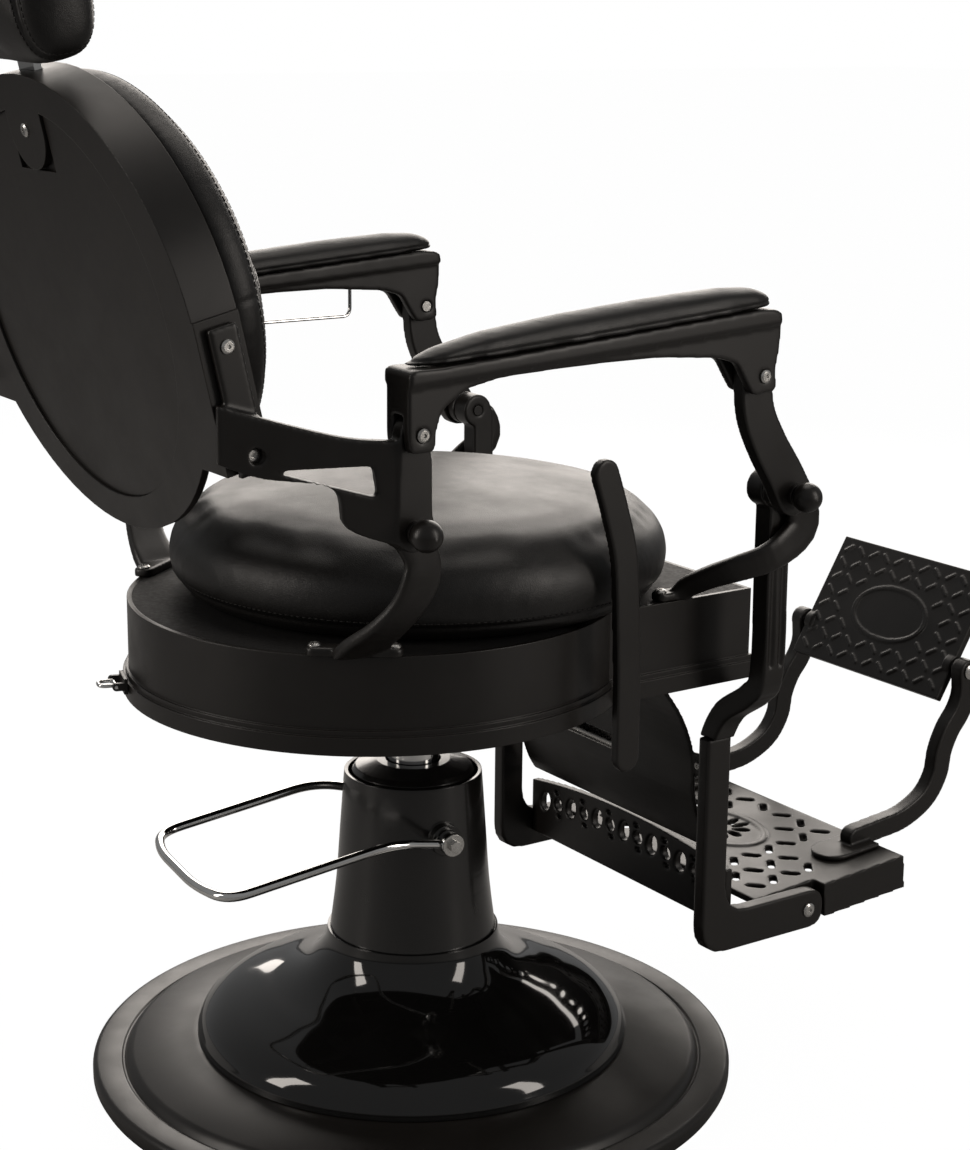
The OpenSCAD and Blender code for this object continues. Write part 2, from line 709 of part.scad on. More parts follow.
module strop_bracket() {
    ear_h = 2 * strop_t;
    color([0.1, 0.1, 0.1]) on_strop() difference() {
        union() {
            translate([-strop_w / 2, soft_gap, -ear_h / 2 - strop_t])
                cube([strop_w, strop_t, ear_h + 2 * strop_t]);
            for (side = [-1, 1])
                cross_ear(side * (strop_w - strop_t) / 2, ear_h);
        }
        cross_pin(0, [strop_eye_out, 0], strop_rod_d / 2 + 2 * pin_play, strop_w + 2 * over);
    }
}
module cross_ear(x, h) {
    translate([x - strop_t / 2, soft_gap + strop_t / 2, -h / 2])
        cube([strop_t, strop_eye_out - strop_t / 2, h]);
    cross_pin(x, [strop_eye_out, 0], h / 2, strop_t);
}

module strop_ring() {
    half = strop_w / 2 - 2 * strop_t;
    color([0.85, 0.85, 0.85]) on_strop() translate([0, strop_eye_out, 0]) {
        cross_pin(0, [0, 0], strop_rod_d / 2, strop_w);
        bent_rod(bent([[-half, 0, 0], [-half, strop_reach, 0], [half, strop_reach, 0], [half, 0, 0]],
                      strop_reach / 2), strop_rod_d - 2 * pin_play);
    }
}

// Recline lever: its pivot, its blade, and the route of the blade from foot to tip, as shares
// of the run and the rise between them
lever_pivot_front = 75;
lever_pivot_z = 424;
lever_pivot = [-lever_pivot_front, lever_pivot_z];
lever_tip_front = 42;
lever_tip_z = 704;
lever_foot_drop = 11;
lever_x = 272;
lever_t = 10;
lever_w = 28;
lever_route_shares = [[0, 0], [0, 0.23], [0.09, 0.49], [0.22, 0.7], [0.56, 0.85], [1, 1]];
shaft_inner_x = 86;
lever_ear_w = 36;
lever_ear_t = 12;

module recline_bracket() {
    color([0.1, 0.1, 0.1]) difference() {
        for (x = [shaft_inner_x + lever_ear_t / 2, shaft_inner_x + 2 * lever_ear_t])
            side_plate(-x, lever_ear_t) {
                translate(lever_pivot) circle(r = lever_ear_w / 2);
                translate([lever_pivot[0] - lever_ear_w / 2, lever_pivot[1]])
                    square([lever_ear_w, swivel_plate_z - lever_pivot[1]]);
            }
        cross_pin(-shaft_inner_x, lever_pivot, shaft_d / 2 + pin_play, 8 * lever_ear_t);
    }
}

module recline_shaft() {
    shaft_outer_x = lever_x - lever_t / 2;
    color([0.7, 0.7, 0.7])
        cross_pin(-(shaft_inner_x + shaft_outer_x) / 2, lever_pivot, shaft_d / 2,
                  shaft_outer_x - shaft_inner_x);
}

module recline_lever() {
    route = place(lever_route_shares, -lever_pivot_front, -lever_tip_front,
                  lever_pivot_z - lever_foot_drop, lever_tip_z);
    color([0.12, 0.12, 0.12]) side_plate(-lever_x, lever_t)
        polygon(strap(curve(route), lever_w, lever_w));
}

// Route of the front link from the arm pivot to the footrest pivot, as shares of run and drop
link_route_shares = [[0, 0], [0.1, 0.31], [0.4, 0.58], [0.76, 0.82], [1, 1]];
link_end_w = 37;
link_foot_w = 44;

module front_link() {
    route = place(link_route_shares, arm_front[0], leg_pivot[0], arm_front[1], leg_pivot[1]);
    color([0.12, 0.12, 0.12]) side_plate(-link_x, link_t) difference() {
        polygon(strap(curve(route), link_end_w, link_foot_w));
        translate(arm_front) circle(r = axle_r + open_pin_play);
        translate(leg_pivot) circle(r = axle_bore_r);
    }
}

// Leg post, inboard of the front wing
post_w = 24;
post_d = 28;
post_ahead = 9;
post_x = inner_x - head_t - side_gap - post_w / 2;
hanger_top_z = 380;
hanger_mid_x = hanger_x - hanger_t / 2;
// Route of the leg post, as shares of its way in and of its drop to the hanger
leg_post_shares = [
    [0, 0], [0, 0.28], [0, 0.68], [0.21, 0.78], [0.73, 0.88], [1, 1], [1, 1.07]
];
flute_r = 4;
flute_side_share = 1.6;
flute_low_share = 0.66;
flute_top_share = 0.14;

module leg_axles() {
    color([0.1, 0.1, 0.1]) both() knob_axle(leg_pivot, post_x - post_w / 2);
}

module leg_post() {
    drop = leg_pivot[1] - hanger_top_z;
    route = place(leg_post_shares, -post_x, -hanger_mid_x, leg_pivot[1], hanger_top_z);
    color([0.12, 0.12, 0.12]) difference() {
        union() {
            translate([0, leg_pivot[0] - post_ahead + post_d / 2, 0]) rotate([90, 0, 0])
                linear_extrude(post_d) polygon(strip(curve(route), post_w, post_w));
            cross_pin(-post_x, leg_pivot, head_r, post_w);
        }
        translate([-apron_r, leg_pivot[0] - post_d, hanger_top_z - post_d * 2])
            cube([apron_r, 2 * post_d, 2 * post_d]);
        for (side = [-1, 1])
            translate([-post_x - post_w / 2 - flute_r / 2,
                       leg_pivot[0] - post_ahead + side * flute_r * flute_side_share,
                       leg_pivot[1] - drop * flute_low_share])
                cylinder(h = drop * (flute_low_share - flute_top_share), r = flute_r);
        cross_pin(-post_x, leg_pivot, axle_bore_r, post_w + 2 * over);
    }
}

plate_hinge = [-plate_hinge_front, plate_hinge_z];
hanger_w = 31;
hanger_set_back = 9;
hanger_end_r = plate_hinge_z - hanger_bottom_z;
hanger_corner = 34;

module hanger() {
    rear = leg_pivot[0] + hanger_set_back;
    inner_z = plate_hinge[1] + hanger_end_r;
    outline = [
        [rear, hanger_top_z], [rear, hanger_bottom_z],
        [plate_hinge[0] - hanger_end_r, hanger_bottom_z],
        [plate_hinge[0] - hanger_end_r, inner_z], [rear - hanger_w, inner_z],
        [rear - hanger_w, hanger_top_z]
    ];
    backs = [0, hanger_corner, hanger_end_r, hanger_end_r, hanger_corner, 0];
    color([0.12, 0.12, 0.12]) side_plate(-hanger_mid_x, hanger_t) difference() {
        polygon(rounded(outline, backs));
        translate(plate_hinge) circle(r = axle_bore_r);
    }
}

// Calf panel from its top edge down to the pierced casting, as shares of its run and drop
panel_shares = [[0, 0], [0.37, 0.2], [0.6, 0.43], [0.65, 0.67], [0.83, 0.89], [1, 1]];
panel_top_back = 46;
panel_top_rise = 56;
panel_foot_front = 29;
panel_foot_z = 240;
panel_t = 4;
panel_half_w = 165;
panel_ear_h = 26;
panel_ear_drop = 50;
panel_ear_y = leg_pivot[0] - panel_t;
panel_ear_z = hanger_top_z - panel_ear_drop;

module calf_panel() {
    inner = hanger_x - hanger_t - soft_gap;
    route = place(panel_shares, leg_pivot[0] + panel_top_back, leg_pivot[0] - panel_foot_front,
                  hanger_top_z + panel_top_rise, panel_foot_z);
    color([0.13, 0.13, 0.13]) {
        side_plate(0, 2 * panel_half_w) polygon(strip(curve(route), panel_t, panel_t));
        both() translate([-inner, panel_ear_y, panel_ear_z])
            cube([inner - panel_half_w, panel_t, panel_ear_h]);
    }
}

// Pierced casting across the hangers, under an arched top edge
back_plate_t = 10;
back_plate_front = 46;
back_plate_low = 20;
back_plate_top_z = 232;
back_plate_rise = 14;
back_plate_edge = 14;
back_holes = 13;
back_hole_drop = 25;
// Half sizes of a large, a small and a bead opening, and the shift of the beads
large_hole = [0.36, 13];
small_hole = [0.3, 8];
bead_hole = [5, 3];
bead_shift_share = 0.1;

module footrest_back() {
    half = hanger_x - hanger_t;
    shoulder_z = back_plate_top_z - back_plate_rise;
    pitch = 2 * (half - back_plate_edge) / back_holes;
    function arch(x) = shoulder_z + back_plate_rise * (1 - (x / half) * (x / half));
    xs = [for (k = [-12:12]) half * k / 12];
    color([0.12, 0.12, 0.12]) translate([0, leg_pivot[0] - back_plate_front + back_plate_t, 0])
        rotate([90, 0, 0]) linear_extrude(back_plate_t) difference() {
            polygon(concat([[half, hanger_bottom_z + back_plate_low],
                            [-half, hanger_bottom_z + back_plate_low]],
                           [for (x = xs) [x, arch(x)]]));
            for (k = [0:back_holes - 1]) {
                x = -half + back_plate_edge + pitch * (k + 1 / 2);
                z = arch(x) - back_hole_drop;
                hole = k % 2 == 0 ? large_hole : small_hole;
                translate([x, z]) rotate(k % 2 == 0 ? 20 : -25)
                    polygon(ellipse(pitch * hole[0], hole[1], 14));
                if (k % 2 == 1)
                    for (side = [-1, 1])
                        translate([x + side * pitch * bead_shift_share, z + side * back_plate_rise])
                            polygon(ellipse(bead_hole[0], bead_hole[1], 10));
            }
        }
}

module footrest_screws() {
    color([0.8, 0.8, 0.8]) both()
        translate([-(panel_half_w + hanger_x - hanger_t) / 2, panel_ear_y + panel_t,
                   panel_ear_z + panel_ear_h / 2])
            rotate([-90, 0, 0]) screw_head(small_screw_d);
}

// Lower footplate, drawn level and tilted about its hinge
toe_tilt = 4;
tread_t = 8;
plate_rear_l = 62;
plate_step = 24;
plate_rim_h = 40;
plate_rim_w = 12;
tread_top = 24;
dash_turn = 38;
dash_share = 0.86;
dash_w = 8;
tread_rows = 7;
tread_cols = 10;
// Half lengths of the plain oval, its border, and the clear margin round it
lower_oval_a = 66;
lower_oval_b = 42;
oval_border_w = 6;
oval_border_h = 2;
oval_margin = 14;
petals = 10;
petal_w = 5;
petal_shares = [0.55, 0.26];
// Feet of the curved arms on the tread
arm_foot_l = 76;
arm_foot_w = 50;
arm_foot_t = 6;
arm_foot_in = 6;
arm_foot_margin = 10;
hinge_ear_drop = 8;
hinge_room = 2;

module on_plate() {
    translate([0, plate_hinge[0], plate_hinge[1]]) rotate([-toe_tilt, 0, 0]) children();
}

// A slot with round ends, lying along X
module slot(l, w) {
    polygon(concat([for (k = [0:4]) [l / 2 - w / 2 + w / 2 * sin(180 * k / 4),
                                     w / 2 * cos(180 * k / 4)]],
                   [for (k = [0:4]) [-l / 2 + w / 2 - w / 2 * sin(180 * k / 4),
                                     -w / 2 * cos(180 * k / 4)]]));
}

module lower_footplate() {
    inner = hanger_x - hanger_t - side_gap;
    front = lower_plate_front - plate_hinge_front;
    field_mid = (plate_rear_l - front) / 2;
    row_pitch = (front + plate_rear_l - 2 * plate_rim_w) / tread_rows;
    col_pitch = 2 * (inner - plate_rim_w) / tread_cols;
    foot_half = arm_foot_w / 2 + arm_foot_margin;
    foot_rear = -front + arm_foot_in + arm_foot_l + arm_foot_margin;
    color([0.12, 0.12, 0.12]) on_plate() difference() {
        union() {
            // Pierced tread
            translate([0, 0, tread_top - tread_t]) linear_extrude(tread_t) difference() {
                union() {
                    translate([-inner, -front]) square([2 * inner, front + plate_rear_l]);
                    translate([-hanger_x, -front]) square([2 * hanger_x, front - plate_step]);
                }
                for (i = [0:tread_rows - 1], j = [0:tread_cols - 1]) {
                    x = (j - (tread_cols - 1) / 2) * col_pitch;
                    y = field_mid + (i - (tread_rows - 1) / 2) * row_pitch;
                    away = norm([x / (lower_oval_a + oval_margin),
                                 (y - field_mid) / (lower_oval_b + oval_margin)]);
                    arm_foot = abs(abs(x) - curved_arm_x) < foot_half && y < foot_rear;
                    if (away > 1 && !arm_foot)
                        translate([x, y]) rotate((i + j) % 2 == 0 ? dash_turn : -dash_turn)
                            slot(row_pitch * dash_share, dash_w);
                }
                for (k = [0:petals - 1])
                    translate([0, field_mid]) rotate(360 * k / petals)
                        translate([lower_oval_b * petal_shares[0], 0])
                            polygon(ellipse(lower_oval_b * petal_shares[1], petal_w, 12));
            }
            // Raised oval border round the middle
            translate([0, field_mid, tread_top]) linear_extrude(oval_border_h) difference() {
                polygon(ellipse(lower_oval_a, lower_oval_b, 40));
                polygon(ellipse(lower_oval_a - oval_border_w, lower_oval_b - oval_border_w, 40));
            }
            // Deep side blocks and front rim
            both() translate([-hanger_x, -front, tread_top - plate_rim_h])
                cube([plate_rim_w + hanger_t / 2, front - plate_step, plate_rim_h]);
            translate([-hanger_x, -front, tread_top - plate_rim_h])
                cube([2 * hanger_x, plate_rim_w, plate_rim_h]);
            // Hinge ears inside the hangers
            both() translate([-inner, -hanger_end_r, -hanger_end_r + hinge_ear_drop])
                cube([plate_rim_w, 2 * hanger_end_r, hanger_end_r + tread_top - hinge_ear_drop]);
        }
        both() cross_pin(-hanger_mid_x, [0, 0], hanger_end_r + hinge_room, hanger_t + side_gap);
        both() cross_pin(-inner, [0, 0], axle_bore_r, 3 * plate_rim_w);
    }
}

module footplate_pins() {
    color([0.8, 0.8, 0.8]) both() {
        cross_pin(-hanger_x + (hanger_t + plate_rim_w) / 2, plate_hinge, axle_r,
                  hanger_t + plate_rim_w);
        side_screw(-hanger_x, plate_hinge, plate_screw_d);
    }
}

// Upper footplate: its pivot lies on the curved arms, a share up its slope
upper_pivot_share = 0.28;
upper_plate_t = 10;
upper_pivot_depth = 8;
upper_pivot = [-upper_pivot_front, upper_pivot_z];
curved_arm_t = 18;
curved_arm_head_r = 14;
curved_arm_w = 24;
// Route of a curved arm from its foot to the pivot, as shares of the run and the rise
curved_arm_in = 29;
curved_arm_rise = 45;
curved_arm_shares = [
    [0, 0], [0.22, 0.02], [0.45, 0.05], [0.66, 0.15], [0.77, 0.3], [0.8, 0.46],
    [0.865, 0.6], [0.96, 0.72], [1.01, 0.85], [1, 1]
];

module curved_arm() {
    front = lower_plate_front - plate_hinge_front;
    foot_z = tread_top + soft_gap / 3;
    route = place(curved_arm_shares, -lower_plate_front + curved_arm_in, upper_pivot[0],
                  plate_hinge_z + curved_arm_rise, upper_pivot[1]);
    color([0.12, 0.12, 0.12]) difference() {
        union() {
            on_plate() translate([-curved_arm_x, -front + arm_foot_l / 2 + arm_foot_in, foot_z])
                linear_extrude(arm_foot_t) union() {
                    translate([-arm_foot_w / 2, -arm_foot_l / 2])
                        square([arm_foot_w, arm_foot_l - arm_foot_w / 2]);
                    translate([0, arm_foot_l / 2 - arm_foot_w / 2]) circle(d = arm_foot_w);
                }
            side_plate(-curved_arm_x, curved_arm_t) difference() {
                polygon(strap(curve(route), curved_arm_w, 2 * curved_arm_head_r));
                translate(upper_pivot) circle(r = axle_bore_r);
            }
        }
        on_plate() translate([-hanger_x, -2 * front, foot_z - 4 * arm_foot_t])
            cube([2 * hanger_x, 3 * front, 4 * arm_foot_t]);
    }
}

relief_h = 1.5;
relief_w = 5;
relief_line_share = 0.8;
relief_cols = 11;
relief_rows = 8;
upper_oval_a = 62;
upper_oval_b = 36;
lug_t = 11;
lug_r = 13;
lug_screw_d = 18;

// Short ribs set alternately across the upper footplate, clear of the oval in its middle
module dashes(w, l) {
    col_pitch = w / relief_cols;
    row_pitch = l / relief_rows;
    for (i = [0:relief_rows - 1], j = [0:relief_cols - 1]) {
        x = (j - (relief_cols - 1) / 2) * col_pitch;
        y = (i - (relief_rows - 1) / 2) * row_pitch;
        if (norm([x / (upper_oval_a + 2 * relief_w), y / (upper_oval_b + 2 * relief_w)]) > 1)
            translate([x, y]) rotate((i + j) % 2 == 0 ? dash_turn : -dash_turn)
                slot(row_pitch * dash_share, relief_w * relief_line_share);
    }
}

module upper_footplate() {
    low = -upper_plate_l * upper_pivot_share;
    half = upper_plate_w / 2;
    color([0.12, 0.12, 0.12]) translate([0, upper_pivot[0], upper_pivot[1]])
        rotate([-upper_plate_tilt, 0, 0]) difference() {
            union() {
                translate([-half, -upper_plate_l - low, upper_pivot_depth - upper_plate_t])
                    cube([upper_plate_w, upper_plate_l, upper_plate_t]);
                both() cross_pin(-half + lug_t / 2, [0, 0], lug_r, lug_t);
                translate([0, -upper_plate_l / 2 - low, upper_pivot_depth])
                    linear_extrude(relief_h) {
                        difference() {
                            polygon(ellipse(upper_oval_a, upper_oval_b, 40));
                            polygon(ellipse(upper_oval_a - relief_w, upper_oval_b - relief_w, 40));
                        }
                        dashes(upper_plate_w - 2 * relief_w, upper_plate_l - 2 * relief_w);
                    }
            }
            both() cross_pin(-half + lug_t, [0, 0], axle_bore_r, 3 * lug_t);
        }
}

module upper_plate_pins() {
    inner = upper_plate_w / 2 - lug_t;
    outer = curved_arm_x + curved_arm_t / 2 + side_gap;
    color([0.3, 0.3, 0.3]) both() {
        cross_pin(-(inner + outer) / 2, upper_pivot, axle_r, outer - inner);
        side_screw(-outer, upper_pivot, lug_screw_d);
    }
}

// Back, drawn upright in its own frame: X across, Y to the rear of its rear face, Z up
ring_t = 8;
panel_inset = 3;
back_panel_t = 3;
panel_seat_w = 8;
panel_border_w = 51;
panel_border_h = 31;
panel_half_w_oval = shell_half_w - panel_border_w;
panel_half_h_oval = shell_half_h - panel_border_h;
// Straight sides of the shell, which stand a little outside its oval
side_out = 2;
shell_side_x = shell_half_w + side_out;
// Straps on the sides, their screws, and the lower end of the wall
strap_w = 28;
strap_t = 8;
strap_low_share = -0.587;
strap_high_share = 0.028;
strap_low = shell_half_h * strap_low_share;
strap_high = shell_half_h * strap_high_share;
strap_y = -(shell_depth + 2 * over) / 2;
strap_screw_in = 18;
strap_screw_zs = [strap_low + strap_screw_in, strap_high - strap_screw_in];
notch_z = strap_low;
side_low = notch_z + panel_inset;
side_high = strap_high + strap_t;
// Tongue that carries the top screw of the panel
tongue_w = 74;
tongue_drop = 51;
tongue_z = shell_half_h - tongue_drop;
tongue_gap = 1;
// Board of the back cushion
board_t = 10;
// Headrest post and its guide behind the top of the shell
post_in = 19;
post_y = -post_in;
post_w_x = 34;
post_t = 8;
post_slot_gap = 1;
post_low_drop = 152;
guide_w = 52;
guide_d = 16;
guide_play = 0.08;
guide_low_drop = 108;
guide_top_drop = 12;
// The headrest stands just over the shell, and tilts about the head of the post
headrest_gap = 7;
headrest_set_forward = 50;
tilt_rise = 20;
tilt_r = 9;
tilt_pin_r = 5;
headrest_low = shell_half_h + headrest_gap;
tilt_z = headrest_low + tilt_rise;
cavity_w = 74;
cavity_d = 40;
cavity_rise = 42;
cavity_top = tilt_z + cavity_rise;

module on_back() {
    translate([0, back_mid_y, back_mid_z]) rotate([-back_lean, 0, 0]) children();
}

module back_outline(inset) {
    polygon(ellipse(shell_half_w - inset, shell_half_h - inset));
    translate([-shell_side_x + inset, side_low + inset])
        square([2 * (shell_side_x - inset), side_high - side_low - 2 * inset]);
}

// An upright outline given a depth, from a front face to a rear face
module depth(front, rear) {
    translate([0, rear, 0]) rotate([90, 0, 0]) linear_extrude(rear - front) children();
}

module back_shell() {
    color([0.12, 0.12, 0.12]) on_back() difference() {
        depth(-shell_depth, 0) back_outline(0);
        // Inside of the wall
        depth(-shell_depth - over, -ring_t) back_outline(shell_wall);
        // Opening for the recessed panel, with a tongue left at its top
        depth(-ring_t - over, over) difference() {
            polygon(ellipse(panel_half_w_oval, panel_half_h_oval));
            translate([-tongue_w / 2, tongue_z]) square([tongue_w, shell_half_h]);
            translate([0, tongue_z]) circle(d = tongue_w);
        }
        // The wall stops above the seat
        translate([-shell_side_x - over, -shell_depth - over, -shell_half_h - over])
            cube([2 * (shell_side_x + over), shell_depth + over - ring_t,
                  shell_half_h + over + notch_z]);
        // Slot for the headrest post
        translate([-post_w_x / 2 - post_slot_gap, post_y - (post_t + post_slot_gap) / 2,
                   shell_half_h / 2])
            cube([post_w_x + 2 * post_slot_gap, post_t + post_slot_gap, shell_half_h]);
    }
}

module back_panel() {
    color([0.13, 0.13, 0.13]) on_back() {
        depth(-ring_t - back_panel_t, -ring_t)
            polygon(ellipse(panel_half_w_oval + panel_seat_w, panel_half_h_oval + panel_seat_w));
        depth(-ring_t, -panel_inset) difference() {
            polygon(ellipse(panel_half_w_oval - soft_gap, panel_half_h_oval - soft_gap));
            translate([-tongue_w / 2 - tongue_gap, tongue_z - tongue_w / 2 - tongue_gap])
                square([tongue_w + 2 * tongue_gap, shell_half_h]);
        }
    }
}

// Outline and depth of the back cushion as shares, from rim to crown
back_cushion_shares = [
    [1, 0], [1.012, 0.16], [1.015, 0.36], [0.985, 0.58], [0.9, 0.78], [0.72, 0.91],
    [0.45, 0.98], [0, 1]
];
cushion_lift = 16;
cushion_in = 9;
cushion_low_in = 22;
cushion_tip_share = 0.02;
cushion_half_w = shell_half_w - cushion_in;
cushion_half_h = shell_half_h - cushion_low_in;

module back_cushion() {
    rings = [
        for (s = back_cushion_shares) let (w = max(s[0], cushion_tip_share)) [
            for (p = ellipse(cushion_half_w * w, -cushion_half_h * w, 40))
                [p[0], -shell_depth - soft_gap - s[1] * back_cushion_t, p[1] + cushion_lift]
        ]
    ];
    color([0.1, 0.1, 0.1]) on_back() {
        loft(rings);
        // Board inside the wall that carries the cushion
        intersection() {
            depth(-shell_depth - soft_gap, -shell_depth + board_t)
                back_outline(shell_wall + soft_gap);
            translate([-shell_side_x, -shell_depth - over, notch_z + soft_gap])
                cube([2 * shell_side_x, 2 * board_t, 2 * shell_half_h]);
        }
    }
}

// Web of a bracket: its edges from the strap to the upright, as shares of the run and of the
// rise between the two pivots, and the opening in it
bracket_t = 12;
bracket_sink_share = 0.75;
bracket_top_shares = [[-0.16, 1.37], [0.3, 1.15], [0.7, 0.99], [1.04, 0.94]];
bracket_low_shares = [[1.04, -0.13], [0.68, 0.09], [0.59, 0.49], [0.13, 0.63], [-0.16, 0.79]];
bracket_hole_shares = [[0.89, 0.38], [0.86, 0.7], [0.17, 0.7]];
bracket_hole_round = 6;
strap_mid_z = (strap_low + strap_high) / 2;
strap_mid_y = back_mid_y + strap_y * cos(back_lean) + strap_mid_z * sin(back_lean);

module back_bracket() {
    // The web runs from the strap to the upright, seen from above
    from = [-shell_side_x - bracket_t * bracket_sink_share, strap_mid_y];
    to = [-link_x, back_pivot[0] + head_r];
    run = norm(to - from);
    turn = atan2(to[1] - from[1], to[0] - from[0]);
    low = back_pivot[1];
    top_edge = curve(place(bracket_top_shares, 0, run, low, arm_rear[1]));
    bottom_edge = curve(place(bracket_low_shares, 0, run, low, arm_rear[1]));
    hole = place(bracket_hole_shares, 0, run, low, arm_rear[1]);
    color([0.12, 0.12, 0.12]) difference() {
        union() {
            on_back() translate([-shell_side_x - strap_t, strap_y - strap_w / 2, strap_low])
                cube([strap_t, strap_w, strap_high - strap_low]);
            translate([from[0], from[1], 0]) rotate([0, 0, turn]) rotate([90, 0, 0])
                translate([0, 0, -bracket_t / 2]) linear_extrude(bracket_t) difference() {
                    polygon(concat(top_edge, bottom_edge));
                    polygon(rounded(hole, bracket_hole_round));
                }
            side_plate(-link_x, link_t)
                polygon(strap([arm_rear, (arm_rear + back_pivot) / 2, back_pivot],
                              2 * arm_head_r, 2 * head_r));
        }
        // Spot faces for the strap screws
        on_back() for (z = strap_screw_zs)
            cross_pin(-shell_side_x - strap_t - bracket_t, [strap_y, z], screw_d / 2 + side_gap,
                      2 * bracket_t);
        // Room for the shell, and bores for the two pivots
        on_back() translate([-shell_side_x, -shell_depth * 2, -shell_half_h])
            cube([shell_side_x, shell_depth * 3, 2 * shell_half_h]);
        cross_pin(-link_x, arm_rear, axle_bore_r, link_t + 2 * over);
        cross_pin(-link_x, back_pivot, axle_bore_r, link_t + 2 * over);
    }
}

module back_screws() {
    color([0.8, 0.8, 0.8]) on_back() {
        both() for (z = strap_screw_zs)
            side_screw(-shell_side_x - strap_t, [strap_y, z]);
        translate([0, 0, tongue_z]) rotate([-90, 0, 0]) screw_head();
    }
}

module headrest_guide() {
    low = shell_half_h - guide_low_drop;
    top = shell_half_h - guide_top_drop;
    color([0.3, 0.3, 0.3]) on_back() difference() {
        translate([-guide_w / 2, post_y - guide_d / 2, low]) cube([guide_w, guide_d, top - low]);
        translate([-post_w_x / 2 - guide_play, post_y - post_t / 2 - guide_play, low - over])
            cube([post_w_x + 2 * guide_play, post_t + 2 * guide_play, top - low + 2 * over]);
    }
}

module headrest_post() {
    low = shell_half_h - post_low_drop;
    color([0.8, 0.8, 0.8]) on_back() difference() {
        union() {
            translate([-post_w_x / 2, post_y - post_t / 2, low])
                cube([post_w_x, post_t, tilt_z - low]);
            cross_pin(0, [post_y, tilt_z], tilt_r, post_w_x);
        }
        cross_pin(0, [post_y, tilt_z], tilt_pin_r + pin_play, post_w_x + 2 * over);
    }
}

frame_t = 4;
frame_in = 2;

module headrest_frame() {
    lug_x = post_w_x / 2 + side_gap;
    top = cavity_top - soft_gap;
    color([0.15, 0.15, 0.15]) on_back() {
        translate([-cavity_w / 2 + frame_in, post_y - cavity_d / 2 + frame_in, top - frame_t])
            cube([cavity_w - 2 * frame_in, cavity_d - 2 * frame_in, frame_t]);
        for (side = [-1, 1]) {
            translate([side * (lug_x + frame_t / 2) - frame_t / 2, post_y - tilt_r, tilt_z])
                cube([frame_t, 2 * tilt_r, top - frame_t - tilt_z]);
            cross_pin(side * (lug_x + frame_t / 2), [post_y, tilt_z], tilt_r, frame_t);
        }
        cross_pin(0, [post_y, tilt_z], tilt_pin_r, 2 * lug_x + frame_t);
    }
}

// Stations of the headrest, as shares of its width, with the size and set-back of each
headrest_shares = [
    [-0.5, 0.62], [-0.48, 0.84], [-0.43, 0.95], [-0.3, 1], [0, 0.98], [0.3, 1], [0.43, 0.95],
    [0.48, 0.84], [0.5, 0.62]
];

headrest_square = 3.2;

module headrest_cushion() {
    half_t = headrest_t / 2;
    half_h = headrest_h / 2;
    mid = [half_t - headrest_set_forward, headrest_low + half_h];
    rings = [
        for (s = headrest_shares) [
            for (k = [0:27]) let (
                a = 360 * k / 28, c = cos(a), q = sin(a),
                grow = 1 / pow(pow(abs(c), headrest_square) + pow(abs(q), headrest_square),
                               1 / headrest_square))
                [s[0] * headrest_w, mid[0] - grow * c * half_t * s[1],
                 mid[1] + grow * q * half_h * s[1]]
        ]
    ];
    color([0.1, 0.1, 0.1]) on_back() difference() {
        loft(rings);
        translate([-cavity_w / 2, post_y - cavity_d / 2, headrest_low - over])
            cube([cavity_w, cavity_d, cavity_top - headrest_low + over]);
    }
}

// Arm casting outline from its rear top corner, as shares of its length and height
arm_rear_y = 210;
arm_front_end_y = -216;
arm_low_z = 755;
arm_flat_share = 0.075;
arm_crest_share = 0.941;
arm_outline_shares = [
    [0, 0.7], [0.012, 0.733], [arm_flat_share, 0.733], [arm_crest_share, 1], [0.984, 0.99],
    [1, 0.95], [1, 0.63], [0.99, 0.45], [0.993, 0.2], [0.926, 0.18], [0.903, 0.32],
    [0.876, 0.505], [0.821, 0.574],
    [0.65, 0.634], [0.481, 0.634], [0.326, 0.614], [0.228, 0.594], [0.143, 0.525],
    [0.082, 0.356], [0.068, 0.168], [0.066, 0], [0.006, 0], [0, 0.15]
];
pad_in = 7;
pad_from_y = arm_rear_y - pad_in;
pad_to_y = arm_front_end_y + pad_in / 2;
// Top flange over the two cheeks, and the slots between the cheeks
flange_h = 15;
arm_corner = 6;
rear_slot_from = 30;
rear_slot_l = 80;
rear_slot_room = 2;
front_slot_l = 78;

